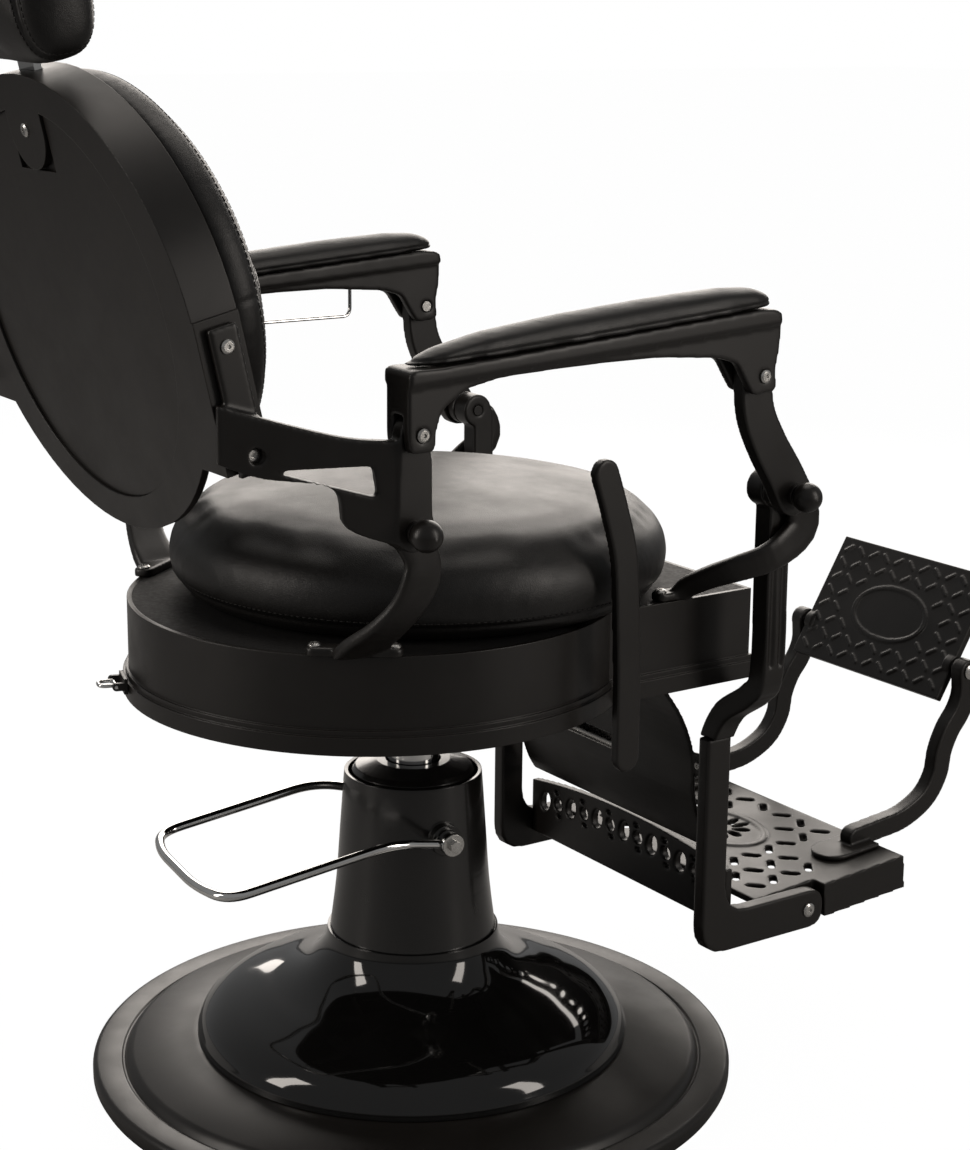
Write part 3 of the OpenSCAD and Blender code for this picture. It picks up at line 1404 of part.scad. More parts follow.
module arm_frame(rail_holes = false) {
    outline = place(arm_outline_shares, arm_rear_y, arm_front_end_y, arm_low_z, arm_top_front_z);
    slot_x = -link_x - arm_slot_w / 2;
    color([0.12, 0.12, 0.12]) difference() {
        union() {
            side_plate(-link_x, arm_cheek_w) polygon(rounded(outline, arm_corner));
            intersection() {
                side_plate(-link_x, arm_w) polygon(rounded(outline, arm_corner));
                side_plate(-link_x, 2 * arm_w) polygon([
                    [arm_rear_y + over, arm_top_rear_z - flange_h],
                    [arm_front_end_y - over, arm_top_front_z - flange_h],
                    [arm_front_end_y - over, arm_top_front_z + over],
                    [arm_rear_y + over, arm_top_front_z + over]
                ]);
            }
        }
        for (at = [arm_rear, arm_front])
            cross_pin(-link_x, at, axle_bore_r, arm_w + 2 * over);
        translate([slot_x, arm_rear[0] - rear_slot_from, arm_low_z - over])
            cube([arm_slot_w, rear_slot_l, arm_rear[1] + arm_head_r + rear_slot_room - arm_low_z]);
        translate([slot_x, arm_front_end_y - over, arm_low_z])
            cube([arm_slot_w, front_slot_l,
                  arm_front[1] + link_end_w / 2 + 2 * open_pin_play - arm_low_z]);
        if (rail_holes)
            for (y = rail_ys)
                translate([-link_x, y, arm_low_z])
                    cylinder(h = rail_hole_z - arm_low_z, d = rail_d + 2 * soft_gap);
    }
}

pad_tuck = 0.12;
pad_fullness = 0.6;

module arm_pad() {
    length = pad_from_y - pad_to_y;
    arm_l = arm_rear_y - arm_front_end_y;
    slope = (arm_top_front_z - arm_top_rear_z) / ((arm_crest_share - arm_flat_share) * arm_l);
    flat_y = arm_rear_y - arm_flat_share * arm_l;
    // Shares along the pad with its width and height there
    shares = [
        [0, 0.25, 0.12], [0.03, 0.5, 0.34], [0.08, 0.72, 0.6], [0.2, 0.88, 0.86],
        [0.4, 0.98, 0.98], [0.65, 1, 1], [0.85, 0.98, 0.95], [0.94, 0.88, 0.8],
        [0.98, 0.68, 0.55], [1, 0.4, 0.2]
    ];
    rings = [
        for (s = shares) let (
            y = pad_from_y - s[0] * length,
            base = arm_top_rear_z + slope * max(flat_y - y, 0) + soft_gap)
        [
            for (k = [0:12]) let (a = 180 * k / 12)
                [-link_x - s[1] * arm_pad_w / 2 * cos(a) * (1 - pad_tuck * pow(abs(cos(a)), 6)), y,
                 base + s[2] * arm_pad_h * pow(sin(a), pad_fullness)]
        ]
    ];
    color([0.1, 0.1, 0.1]) loft(rings);
}

module arm_pins() {
    color([0.8, 0.8, 0.8]) {
        for (at = [arm_rear, arm_front]) {
            cross_pin(-link_x, at, axle_r, arm_cheek_w);
            side_screw(-arm_cheek_x, at);
        }
    }
}

// Towel rail under the left arm
rail_d = 4;
rail_ys = [118, -104];
rail_top_z = 820;
rail_hole_z = rail_top_z + over;
rail_low_z = 784;

module towel_rail() {
    route = [
        [-link_x, rail_ys[0], rail_top_z], [-link_x, rail_ys[0], rail_low_z],
        [-link_x, rail_ys[1], rail_low_z], [-link_x, rail_ys[1], rail_top_z]
    ];
    color([0.85, 0.85, 0.85]) left() bent_rod(bent(route, 2 * rail_d), rail_d, [1, 0, 0]);
}

base_plate();
floor_ring();
centre_pad();
bell_cover();
column_sleeve();
pump_cylinder();
column_collar();
pump_shaft();
pump_lever();
pump_lever_bolts();
lift_ram();
swivel_plate();
seat_frame();
apron_shell();
seat_deck();
seat_cushion();
rear_support();  // rear_support_right
left() rear_support();  // rear_support_left
front_wing();  // front_wing_right
left() front_wing();  // front_wing_left
seat_screws();
back_axles();
strop_bracket();
strop_ring();
recline_bracket();
recline_shaft();
recline_lever();
front_link();  // front_link_right
left() front_link();  // front_link_left
leg_axles();
leg_post();  // leg_post_right
left() leg_post();  // leg_post_left
hanger();  // hanger_right
left() hanger();  // hanger_left
calf_panel();
footrest_back();
footrest_screws();
lower_footplate();
curved_arm();  // curved_arm_right
left() curved_arm();  // curved_arm_left
footplate_pins();
upper_footplate();
upper_plate_pins();
back_shell();
back_panel();
back_cushion();
back_bracket();  // back_bracket_right
left() back_bracket();  // back_bracket_left
back_screws();
headrest_guide();
headrest_post();
headrest_frame();
headrest_cushion();
arm_frame();  // arm_frame_right
left() arm_frame(true);  // arm_frame_left
arm_pad();  // arm_pad_right
left() arm_pad();  // arm_pad_left
arm_pins();  // arm_pins_right
left() arm_pins();  // arm_pins_left
towel_rail();
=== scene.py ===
import logging
import math
from collections.abc import Callable
from dataclasses import dataclass, field
from enum import Enum

import bmesh
import bpy
from mathutils import Matrix, Vector
from mathutils.bvhtree import BVHTree


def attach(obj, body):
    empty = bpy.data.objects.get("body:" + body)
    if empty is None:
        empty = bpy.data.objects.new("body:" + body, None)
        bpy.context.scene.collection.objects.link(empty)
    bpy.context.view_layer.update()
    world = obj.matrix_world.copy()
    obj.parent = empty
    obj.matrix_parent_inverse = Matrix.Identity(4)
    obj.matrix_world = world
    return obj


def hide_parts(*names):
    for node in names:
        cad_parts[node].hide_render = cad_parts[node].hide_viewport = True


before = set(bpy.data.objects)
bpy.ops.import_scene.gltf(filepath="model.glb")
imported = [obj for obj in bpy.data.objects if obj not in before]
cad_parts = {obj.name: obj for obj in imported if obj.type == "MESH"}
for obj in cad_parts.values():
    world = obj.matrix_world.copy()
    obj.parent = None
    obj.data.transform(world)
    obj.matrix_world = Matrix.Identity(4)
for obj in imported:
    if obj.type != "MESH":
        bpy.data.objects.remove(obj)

log = logging.getLogger("barber_chair")

Node = bpy.types.Node
Output = bpy.types.NodeSocket
Mesh = bpy.types.Mesh
Object = bpy.types.Object
BMesh = bmesh.types.BMesh
Color = Point = tuple[float, float, float]

MM = 0.001
ROUND = 180.0
WHITE = (1.0, 1.0, 1.0, 1.0)


# ---- Finishes ----


class Slot(Enum):
    """The record's material slots."""

    CAST_BLACK = "cast_black"
    GLOSS_BLACK = "gloss_black"
    BASE_BLACK = "base_black"
    CHROME = "chrome"
    STEEL = "steel"
    LEATHER = "black_leather"
    RUBBER = "rubber"
    BOARD = "board"


class Nodes:
    """A node tree, emptied, with short ways to add and join its nodes."""

    def __init__(self, owner: bpy.types.Material | bpy.types.World) -> None:
        """Empties the tree of a material or world."""
        owner.use_nodes = True
        self.tree = owner.node_tree
        self.tree.nodes.clear()

    def add(self, kind: str, settings: dict | None = None, inputs: dict | None = None) -> Node:
        """Adds a node.

        Args:
            kind: Blender's type name of the node.
            settings: Properties of the node.
            inputs: By name or number of a socket, its value or the output that is joined to it.

        Returns:
            The new node.
        """
        node = self.tree.nodes.new(kind)
        for key, value in (settings or {}).items():
            setattr(node, key, value)
        for key, value in (inputs or {}).items():
            self.feed(node, key, value)
        return node

    def feed(self, node: Node, key: str | int, value: Output | float | tuple) -> None:
        """Sets a node's input, or joins another node's output to it."""
        if isinstance(value, Output):
            self.tree.links.new(value, node.inputs[key])
        else:
            node.inputs[key].default_value = value

    def math(self, operation: str, first: Output, second: Output | float) -> Output:
        """Adds a calculation with two values and returns its output."""
        node = self.add("ShaderNodeMath", {"operation": operation}, {0: first, 1: second})
        return node.outputs[0]


class Graph(Nodes):
    """The node graph of one material, round a Principled shader.

    Its methods add nodes and return the output that the next node takes.
    """

    def __init__(self, name: str) -> None:
        """Starts a material of that name with a Principled shader and an output."""
        self.material = bpy.data.materials.new(name)
        super().__init__(self.material)
        self.shader = self.add("ShaderNodeBsdfPrincipled")
        self.out = self.add("ShaderNodeOutputMaterial", None, {"Surface": self.shader.outputs[0]})
        self.place = self.add("ShaderNodeTexCoord").outputs["Object"]

    def set(self, **values: Output | float | tuple) -> None:
        """Sets or joins the shader's sockets, named with underscores for spaces."""
        for name, value in values.items():
            self.feed(self.shader, name.replace("_", " "), value)

    def noise(self, scale: float, detail: float, roughness: float, out: str = "Fac") -> Output:
        """Adds a noise in Object coordinates, with its features per metre."""
        node = self.add("ShaderNodeTexNoise", None, {
            "Scale": scale, "Detail": detail, "Roughness": roughness, "Vector": self.place})
        return node.outputs[out]

    def tones(self, noise: Output, low: Color, high: Color, top: float = 0.7) -> Output:
        """Adds a ramp from a low to a high colour over a noise's usual span."""
        node = self.add("ShaderNodeValToRGB", None, {"Fac": noise})
        for element, position, color in zip(node.color_ramp.elements, (0.3, top), (low, high)):
            element.position = position
            element.color = (*color, 1.0)
        return node.outputs["Color"]

    def span(self, source: Output, low: float, high: float, start: float = 0.3,
             end: float = 0.7) -> Output:
        """Maps a value from start..end, at first a noise's usual span, to low..high."""
        return self.add("ShaderNodeMapRange", None, {
            "From Min": start, "From Max": end, "To Min": low, "To Max": high,
            "Value": source}).outputs["Result"]

    def mix(self, factor: Output, first: Output | tuple, second: Output | tuple) -> Output:
        """Adds a mix of two colours."""
        return self.add("ShaderNodeMix", {"data_type": "RGBA", "blend_type": "MIX"},
                        {0: factor, 6: first, 7: second}).outputs[2]

    def edge(self, radius: float) -> Output:
        """Adds the softened normal that rounds every sharp edge by a radius."""
        return self.add("ShaderNodeBevel", {"samples": 6}, {"Radius": radius}).outputs["Normal"]

    def edge_mask(self, bevel: Output, reach: float = 0.06) -> Output:
        """Adds a mask that is 1 along sharp edges and 0 on flats, full at a reach from flat."""
        plain = self.add("ShaderNodeNewGeometry").outputs["Normal"]
        dot = self.add("ShaderNodeVectorMath", {"operation": "DOT_PRODUCT"}, {0: bevel, 1: plain})
        return self.span(dot.outputs["Value"], 1.0, 0.0, 1.0 - reach, 1.0 - reach / 12)

    def bump(self, height: Output, depth: float, strength: float,
             over: Output | None = None) -> Output:
        """Adds a bump with full steps of a depth in metres, over a normal if one is given."""
        node = self.add("ShaderNodeBump", None,
                        {"Strength": strength, "Distance": depth, "Height": height})
        if over:
            self.feed(node, "Normal", over)
        return node.outputs["Normal"]


@dataclass(frozen=True)
class Paint:
    """Paint or powder coat on cast metal, with a fine grain and paler worn edges."""

    name: str
    slot: Slot
    dark: Color
    pale: Color
    worn: Color
    rough_low: float
    rough_high: float
    specular: float
    coat: float = 0.0
    coat_rough: float = 0.05
    grain: float = 900.0
    grain_depth: float = 0.00003
    grain_strength: float = 0.3
    edge_radius: float = 0.0015

    def material(self) -> bpy.types.Material:
        """Builds the material."""
        g = Graph(self.name)
        bevel = g.edge(self.edge_radius)
        tone = g.tones(g.noise(7.0, 5.0, 0.6), self.dark, self.pale)
        rubbed = g.span(g.noise(140.0, 4.0, 0.65), 0.15, 1.0)
        broken = g.math("MULTIPLY", g.edge_mask(bevel), rubbed)
        grain = g.noise(self.grain, 2.0, 0.5)
        g.set(Base_Color=g.mix(broken, tone, (*self.worn, 1.0)),
              Roughness=g.span(g.noise(16.0, 6.0, 0.62), self.rough_low, self.rough_high),
              Normal=g.bump(grain, self.grain_depth, self.grain_strength, bevel),
              Specular_IOR_Level=self.specular,
              Coat_Weight=self.coat, Coat_Roughness=self.coat_rough)
        return g.material


@dataclass(frozen=True)
class Metal:
    """Bare or plated metal with faint polishing marks."""

    name: str
    slot: Slot
    color: Color
    dull: Color
    rough_low: float
    rough_high: float
    brush: float = 300.0
    edge_radius: float = 0.0006

    def material(self) -> bpy.types.Material:
        """Builds the material."""
        g = Graph(self.name)
        marks = g.noise(self.brush, 4.0, 0.6)
        g.set(Base_Color=g.tones(g.noise(30.0, 5.0, 0.6), self.dull, self.color, 0.65),
              Roughness=g.span(marks, self.rough_low, self.rough_high),
              Normal=g.bump(marks, 0.00001, 0.12, g.edge(self.edge_radius)), Metallic=1.0)
        return g.material


@dataclass(frozen=True)
class Leather:
    """Smooth black upholstery leather with a fine pebbled grain, painted shade in the grain's
    grooves and soft creases.
    """

    name: str = "leather_black"
    slot: Slot = Slot.LEATHER
    dark: Color = (0.0052, 0.0045, 0.004)
    pale: Color = (0.0088, 0.0077, 0.0068)
    rough_low: float = 0.36
    rough_high: float = 0.5
    grain: float = 620.0
    grain_depth: float = 0.00016
    crease_depth: float = 0.0012
    warp: float = 0.006
    shade: float = 0.55

    def material(self) -> bpy.types.Material:
        """Builds the material."""
        g = Graph(self.name)
        shifted = g.add("ShaderNodeVectorMath", {"operation": "MULTIPLY_ADD"}, {
            0: g.noise(90.0, 2.0, 0.5, "Color"), 1: (self.warp,) * 3, 2: g.place}).outputs["Vector"]
        cells = g.add("ShaderNodeTexVoronoi", {"feature": "DISTANCE_TO_EDGE"},
                      {"Scale": self.grain, "Vector": shifted}).outputs["Distance"]
        valley = g.span(cells, 0.0, 1.0, 0.0, 0.28)
        tone = g.tones(g.noise(6.0, 5.0, 0.6), self.dark, self.pale)
        # Painted shade: the grooves between the grain's pebbles take the colour darkened by the
        # share shade, where they would shade themselves.
        valley_painted_shade = (*(c * self.shade for c in self.dark), 1.0)
        soft = g.bump(g.noise(26.0, 3.0, 0.45), self.crease_depth, 0.3)
        g.set(Base_Color=g.mix(valley, valley_painted_shade, tone),
              Roughness=g.span(g.noise(11.0, 6.0, 0.62), self.rough_low, self.rough_high),
              Normal=g.bump(valley, self.grain_depth, 0.4, soft), Specular_IOR_Level=0.42)
        return g.material


@dataclass(frozen=True)
class Matte:
    """A plain matt stuff, such as rubber, board or thread, with its own fine grain."""

    name: str
    slot: Slot
    dark: Color
    pale: Color
    rough: float = 0.8
    grain: float = 400.0
    depth: float = 0.0001
    spread: float = 0.08

    def material(self) -> bpy.types.Material:
        """Builds the material."""
        g = Graph(self.name)
        grain = g.noise(self.grain, 3.0, 0.6)
        g.set(Base_Color=g.tones(g.noise(24.0, 6.0, 0.65), self.dark, self.pale),
              Roughness=g.span(grain, self.rough - self.spread, self.rough + self.spread),
              Normal=g.bump(grain, self.depth, 0.4), Specular_IOR_Level=0.3)
        return g.material


@dataclass(frozen=True)
class Finish:
    """A built material with the slot that it belongs to."""

    material: bpy.types.Material
    slot: Slot


class Finishes:
    """Every finish of the chair, each built once."""

    def __init__(self) -> None:
        """Builds the materials."""
        self.cast = self._of(Paint(
            "cast_satin_black", Slot.CAST_BLACK, (0.0062, 0.005, 0.0042), (0.0092, 0.0076, 0.0064),
            (0.022, 0.0185, 0.0155), 0.32, 0.44, specular=0.42, grain_depth=0.00004))
        self.gloss = self._of(Paint(
            "bell_gloss_black", Slot.GLOSS_BLACK, (0.0035, 0.0033, 0.0032), (0.0045, 0.0042, 0.004),
            (0.006, 0.006, 0.006), 0.06, 0.1, specular=0.3, coat=0.6, coat_rough=0.03,
            grain=110.0, grain_depth=0.00002, grain_strength=0.12))
        self.column = self._of(Paint(
            "column_half_gloss", Slot.GLOSS_BLACK, (0.005, 0.0045, 0.0042),
            (0.0075, 0.0068, 0.0062), (0.01, 0.009, 0.008), 0.2, 0.28, specular=0.5,
            coat=0.35, coat_rough=0.12, grain=300.0, grain_strength=0.2))
        self.base = self._of(Paint(
            "base_satin_black", Slot.BASE_BLACK, (0.0062, 0.0052, 0.0045), (0.0092, 0.0078, 0.0067),
            (0.02, 0.0172, 0.0148), 0.32, 0.43, specular=0.42, grain_depth=0.00003))
        self.chrome = self._of(Metal(
            "chrome_plate", Slot.CHROME, (0.78, 0.78, 0.77), (0.68, 0.68, 0.67), 0.05, 0.11))
        self.steel = self._of(Metal(
            "screw_steel", Slot.STEEL, (0.62, 0.61, 0.59), (0.45, 0.44, 0.42), 0.2, 0.34))
        self.leather = self._of(Leather())
        self.thread = self._of(Matte(
            "seam_thread", Slot.LEATHER, (0.006, 0.0055, 0.005), (0.011, 0.01, 0.009), 0.6, 1500.0))
        self.rubber = self._of(Matte(
            "floor_rubber", Slot.RUBBER, (0.008, 0.008, 0.008), (0.016, 0.016, 0.015)))
        self.board = self._of(Matte(
            "seat_board", Slot.BOARD, (0.0022, 0.002, 0.0019), (0.004, 0.0035, 0.0032), 0.7, 220.0))

    def _of(self, finish: Paint | Metal | Leather | Matte) -> Finish:
        """Builds a finish and keeps its slot beside its material."""
        return Finish(finish.material(), finish.slot)


# ---- Making pieces ----


def linked(name: str, data: bpy.types.ID) -> Object:
    """Makes an object of a mesh, lamp or camera and links it to the scene."""
    obj = bpy.data.objects.new(name, data)
    bpy.context.scene.collection.objects.link(obj)
    return obj


def meshed(name: str, bm: BMesh) -> Mesh:
    """Turns a bmesh, which is freed, into a mesh."""
    mesh = bpy.data.meshes.new(name)
    bm.to_mesh(mesh)
    bm.free()
    return mesh


def piece(name: str, bm: BMesh, finish: Finish, smooth: float) -> Object:
    """Turns a finished bmesh, which is freed, into a dressed object at the origin."""
    return dressed(name, meshed(name, bm), finish, smooth)


def dressed(name: str, mesh: Mesh, finish: Finish, smooth: float) -> Object:
    """Makes an object of a mesh, with its finish and smooth shading.

    Args:
        name: Name of the piece.
        mesh: Its mesh.
        finish: Its finish.
        smooth: Angle in degrees above which an edge stays sharp.

    Returns:
        The new object.
    """
    mesh.materials.clear()
    mesh.materials.append(finish.material)
    if "custom_normal" in mesh.attributes:
        mesh.attributes.remove(mesh.attributes["custom_normal"])
    mesh.polygons.foreach_set("use_smooth", [True] * len(mesh.polygons))
    mesh.set_sharp_from_angle(angle=math.radians(smooth))
    obj = linked(name, mesh)
    log.info("%s: %d faces", name, len(mesh.polygons))
    return obj


def spun(profile: list[tuple[float, float]], steps: int, closed: bool = True) -> BMesh:
    """Spins an outline about the column's axis.

    Args:
        profile: Points of radius and height, in metres, from the outside in.
        steps: Steps of the full turn.
        closed: Whether the last point joins the first.

    Returns:
        The turned mesh with its normals outwards.
    """
    bm = bmesh.new()
    verts = [bm.verts.new((r, 0.0, z)) for r, z in profile]
    edges = [bm.edges.new(pair) for pair in zip(verts, verts[1:])]
    if closed:
        edges.append(bm.edges.new((verts[-1], verts[0])))
    bmesh.ops.spin(bm, geom=verts + edges, cent=(0, 0, 0), axis=(0, 0, 1), angle=math.tau,
                   steps=steps, use_merge=True, use_duplicate=False)
    bmesh.ops.remove_doubles(bm, verts=bm.verts, dist=1e-6)
    bmesh.ops.recalc_face_normals(bm, faces=bm.faces)
    return bm


def smooth_curve(points: list[Vector], steps: int = 6) -> list[Vector]:
    """A smooth open curve through points.

    Args:
        points: The points.
        steps: Steps of each span.

    Returns:
        The points of the curve.
    """
    made = []
    last = len(points) - 1
    for i in range(last):
        a, b = points[max(i - 1, 0)], points[i]
        c, d = points[i + 1], points[min(i + 2, last)]
        for k in range(steps):
            s = k / steps
            made.append((2 * b + (c - a) * s + (2 * a - 5 * b + 4 * c - d) * s * s
                         + (3 * b - a - 3 * c + d) * s ** 3) / 2)
    made.append(points[-1].copy())
    return made


def rounded_route(points: list[Vector], radius: float, steps: int = 8) -> list[Vector]:
    """An open route with each corner rounded.

    Args:
        points: Corners of the route.
        radius: Set-back of the rounding from each corner.
        steps: Steps of each rounding.

    Returns:
        The points of the route.
    """
    made = [points[0].copy()]
    for a, b, c in zip(points, points[1:], points[2:]):
        back = min(radius, (a - b).length * 0.46, (c - b).length * 0.46)
        start, end = b + (a - b).normalized() * back, b + (c - b).normalized() * back
        for k in range(steps + 1):
            s = k / steps
            made.append((1 - s) ** 2 * start + 2 * s * (1 - s) * b + s * s * end)
    made.append(points[-1].copy())
    return made


def only_verts(made: list) -> list[bmesh.types.BMVert]:
    """The vertices among the elements that an operator made."""
    return [g for g in made if isinstance(g, bmesh.types.BMVert)]


def swept(bm: BMesh, route: list[Vector], radius: float, sides: int) -> None:
    """Sweeps a round section along an open route.

    Args:
        bm: The mesh that takes the tube.
        route: Points of the middle line.
        radius: Radius of the section.
        sides: Sides of the section.
    """
    last = len(route) - 1

    def direction(i: int) -> Vector:
        """Direction of the route at a point."""
        return (route[min(i + 1, last)] - route[max(i - 1, 0)]).normalized()

    side = direction(0).orthogonal().normalized()
    frames = []
    for i in range(len(route)):
        along = direction(i)
        side = (side - along * side.dot(along)).normalized()
        across = along.cross(side)
        turn = Matrix((side, across, along)).transposed().to_4x4()
        frames.append(Matrix.Translation(route[i]) @ turn)
    ring = bmesh.ops.create_circle(bm, cap_ends=False, segments=sides, radius=radius)["verts"]
    bmesh.ops.transform(bm, matrix=frames[0], verts=ring)
    first = sorted({e for v in ring for e in v.link_edges}, key=lambda e: e.index)
    edges = first
    for before, after in zip(frames, frames[1:]):
        made = bmesh.ops.extrude_edge_only(bm, edges=edges)["geom"]
        verts = only_verts(made)
        edges = [g for g in made
                 if isinstance(g, bmesh.types.BMEdge) and all(v in verts for v in g.verts)]
        bmesh.ops.transform(bm, matrix=after @ before.inverted(), verts=verts)
    bmesh.ops.holes_fill(bm, edges=first + edges, sides=0)


def pin(bm: BMesh, at: Vector, axis: Vector, radius: float, length: float, sides: int) -> None:
    """Adds a cylinder with eased ends.

    Args:
        bm: The mesh that takes it.
        at: Its middle.
        axis: Its direction.
        radius: Its radius.
        length: Its length.
        sides: Sides of the section.
    """
    turn = axis.normalized().to_track_quat("Z", "Y").to_matrix().to_4x4()
    made = bmesh.ops.create_cone(bm, cap_ends=True, segments=sides, radius1=radius, radius2=radius,
                                 depth=length, matrix=Matrix.Translation(at) @ turn)["verts"]
    rims = [e for e in {e for v in made for e in v.link_edges}
            if any(len(f.verts) > 4 for f in e.link_faces)]
    bmesh.ops.bevel(bm, geom=rims, offset=min(radius, length) * 0.12, affect="EDGES", segments=3,
                    profile=0.5, material=-1)


def placed(bm: BMesh, place: Matrix) -> BMesh:
    """Moves a whole form to its place and turns its faces outwards."""
    bmesh.ops.transform(bm, matrix=place, verts=bm.verts)
    bmesh.ops.recalc_face_normals(bm, faces=bm.faces)
    return bm


def merged_copy(node: str) -> BMesh:
    """A copy of a CAD node's mesh with its doubles merged."""
    bm = bmesh.new()
    bm.from_mesh(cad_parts[node].data)
    bmesh.ops.remove_doubles(bm, verts=bm.verts, dist=2e-6)
    return bm


def baked(obj: Object) -> Mesh:
    """Applies an object's modifiers, removes the object and returns its mesh."""
    bpy.context.view_layer.update()
    graph = bpy.context.evaluated_depsgraph_get()
    mesh = bpy.data.meshes.new_from_object(obj.evaluated_get(graph))
    old = obj.data
    bpy.data.objects.remove(obj)
    if old.users == 0:
        bpy.data.meshes.remove(old)
    return mesh


def ease(obj: Object, passes: int) -> None:
    """Puts passes of smoothing on an object."""
    modifier = obj.modifiers.new("ease", "SMOOTH")
    modifier.iterations = passes
    modifier.factor = 0.5


def remeshed(bm: BMesh, voxel: float, passes: int) -> Mesh:
    """Remeshes a closed mesh into even quads and rounds its edges.

    Args:
        bm: The mesh. It is freed.
        voxel: Size of a quad.
        passes: Passes of smoothing.

    Returns:
        The new mesh.
    """
    obj = linked("working", meshed("working", bm))
    grid = obj.modifiers.new("grid", "REMESH")
    grid.mode = "VOXEL"
    grid.voxel_size = voxel
    ease(obj, passes)
    return baked(obj)


@dataclass
class Casting:
    """A casting that stands for its CAD node.

    With a grid, every edge is rounded as a sand casting's is. Without one, the node's own faces
    stay, shaded smooth.
    """

    node: str
    body: str
    voxel: float
    passes: int

    def build(self, finish: Finish) -> None:
        """Builds the piece."""
        bm, name = merged_copy(self.node), f"{self.node}_casting"
        if self.voxel:
            obj = dressed(name, remeshed(bm, self.voxel, self.passes), finish, 50.0)
        else:
            obj = piece(name, bm, finish, 28.0)
        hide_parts(self.node)
        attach(obj, self.body)


def dress_node(node: str, finish: Finish) -> None:
    """Gives a CAD node its finish."""
    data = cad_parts[node].data
    if data.materials:
        for i in range(len(data.materials)):
            data.materials[i] = finish.material
    else:
        data.materials.append(finish.material)


# ---- Soft pieces ----


def subdivided(mesh: Mesh) -> Mesh:
    """Subdivides a mesh smoothly, once."""
    obj = linked("working", mesh)
    finer = obj.modifiers.new("finer", "SUBSURF")
    finer.levels = finer.render_levels = 1
    return baked(obj)


@dataclass
class Stuffing:
    """How a cushion swells: cloth under a little pressure, held where it rests."""

    voxel: float
    pressure: float
    cap: float
    passes: int = 2
    frames: int = 20
    sink: float = 0.8 * MM
    eases: int = 14
    stretch_stiffness: float = 12.0
    shear_stiffness: float = 5.0
    bending_stiffness: float = 0.6

    def swell(self, name: str, bm: BMesh, held: Callable[[Vector], bool]) -> Mesh:
        """Remeshes a closed form, lets it swell and subdivides it.

        Args:
            name: Name for the working object.
            bm: The closed form. It is freed.
            held: Says of a point whether it is held.

        Returns:
            The swollen mesh.
        """
        mesh = remeshed(bm, self.voxel, self.passes)
        rest = [v.co.copy() for v in mesh.vertices]
        outward = [v.normal.copy() for v in mesh.vertices]
        obj = linked(f"{name}_working", mesh)
        group = obj.vertex_groups.new(name="held")
        group.add([i for i, co in enumerate(rest) if held(co)], 1.0, "REPLACE")
        cloth = obj.modifiers.new("cloth", "CLOTH")
        settings = cloth.settings
        settings.quality = 5
        settings.use_pressure = True
        settings.uniform_pressure_force = self.pressure
        settings.effector_weights.gravity = 0.0
        settings.tension_stiffness = self.stretch_stiffness
        settings.compression_stiffness = self.stretch_stiffness
        settings.shear_stiffness = self.shear_stiffness
        settings.bending_stiffness = self.bending_stiffness
        settings.vertex_group_mass = "held"
        cloth.collision_settings.use_collision = False
        cloth.point_cache.frame_start = 1
        cloth.point_cache.frame_end = self.frames
        for number in range(1, self.frames + 1):
            bpy.context.scene.frame_set(number)
        swollen = baked(obj)
        bpy.context.scene.frame_set(1)
        places = []
        for vertex, start, normal in zip(swollen.vertices, rest, outward):
            swell = (vertex.co - start).dot(normal)
            places.extend(start + normal * min(max(swell, -self.sink), self.cap))
        swollen.vertices.foreach_set("co", places)
        obj = linked("working", swollen)
        ease(obj, self.eases)
        return subdivided(baked(obj))


def turn_of_angles(steps: int) -> list[float]:
    """The angles of a full turn in equal steps."""
    return [math.tau * k / steps for k in range(steps)]


def bell_curve(distance: float, width: float) -> float:
    """Share of a seam's depth at a distance from its line."""
    return math.exp(-(distance / width) ** 2)


def dented(mesh: Mesh, depth: Callable[[Vector], float],
           held: Callable[[Vector], Vector] = lambda co: co) -> None:
    """Presses seams into a mesh along its normals.

    Args:
        mesh: The mesh.
        depth: Depth of the seams at a point.
        held: Moves a point back to where it has to stay.
    """
    places = [(v.co.copy(), v.normal.copy()) for v in mesh.vertices]
    moved = [held(co - normal * depth(co)) for co, normal in places]
    mesh.vertices.foreach_set("co", [c for co in moved for c in co])
    mesh.update()


def stitched(name: str, mesh: Mesh, rows: list[list[tuple[Vector, Vector]]],
             pitch: float, finish: Finish, body: str) -> None:
    """Lays rows of stitches on a cushion.

    Args:
        name: Name of the piece.
        mesh: The cushion's mesh, in place.
        rows: For each closed row, the rays that find it: a start outside and an aim inside.
        pitch: Distance from stitch to stitch.
        finish: Finish of the thread.
        body: Body that the stitches ride with.
    """
    tree = BVHTree.FromPolygons([v.co for v in mesh.vertices], [p.vertices for p in mesh.polygons])
    long, wide, high = pitch * 0.36, 0.55 * MM, 0.35 * MM
    bm = bmesh.new()
    for rays in rows:
        found = [tree.ray_cast(start, (aim - start).normalized()) for start, aim in rays]
        line = [(hit[0], hit[1]) for hit in found if hit[0] is not None]
        due = 0.0
        for (a, normal), (b, _) in zip(line, line[1:] + line[:1]):
            step = (b - a).length
            if not 1e-6 <= step <= 30 * MM:
                continue
            along = (b - a) / step
            while due < step:
                across = normal.cross(along).normalized()
                turn = Matrix((along, across, normal)).transposed().to_4x4()
                made = bmesh.ops.create_cube(bm, size=1.0)["verts"]
                place = Matrix.Translation(a + along * due + normal * high * 0.3) @ turn
                size = Matrix.Diagonal((2 * long, 2 * wide, 2 * high, 1.0))
                bmesh.ops.transform(bm, matrix=place @ size, verts=made)
                due += pitch
            due -= step
    bmesh.ops.recalc_face_normals(bm, faces=bm.faces)
    obj = piece(name, bm, finish, ROUND)
    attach(obj, body)


# ---- Studio ----


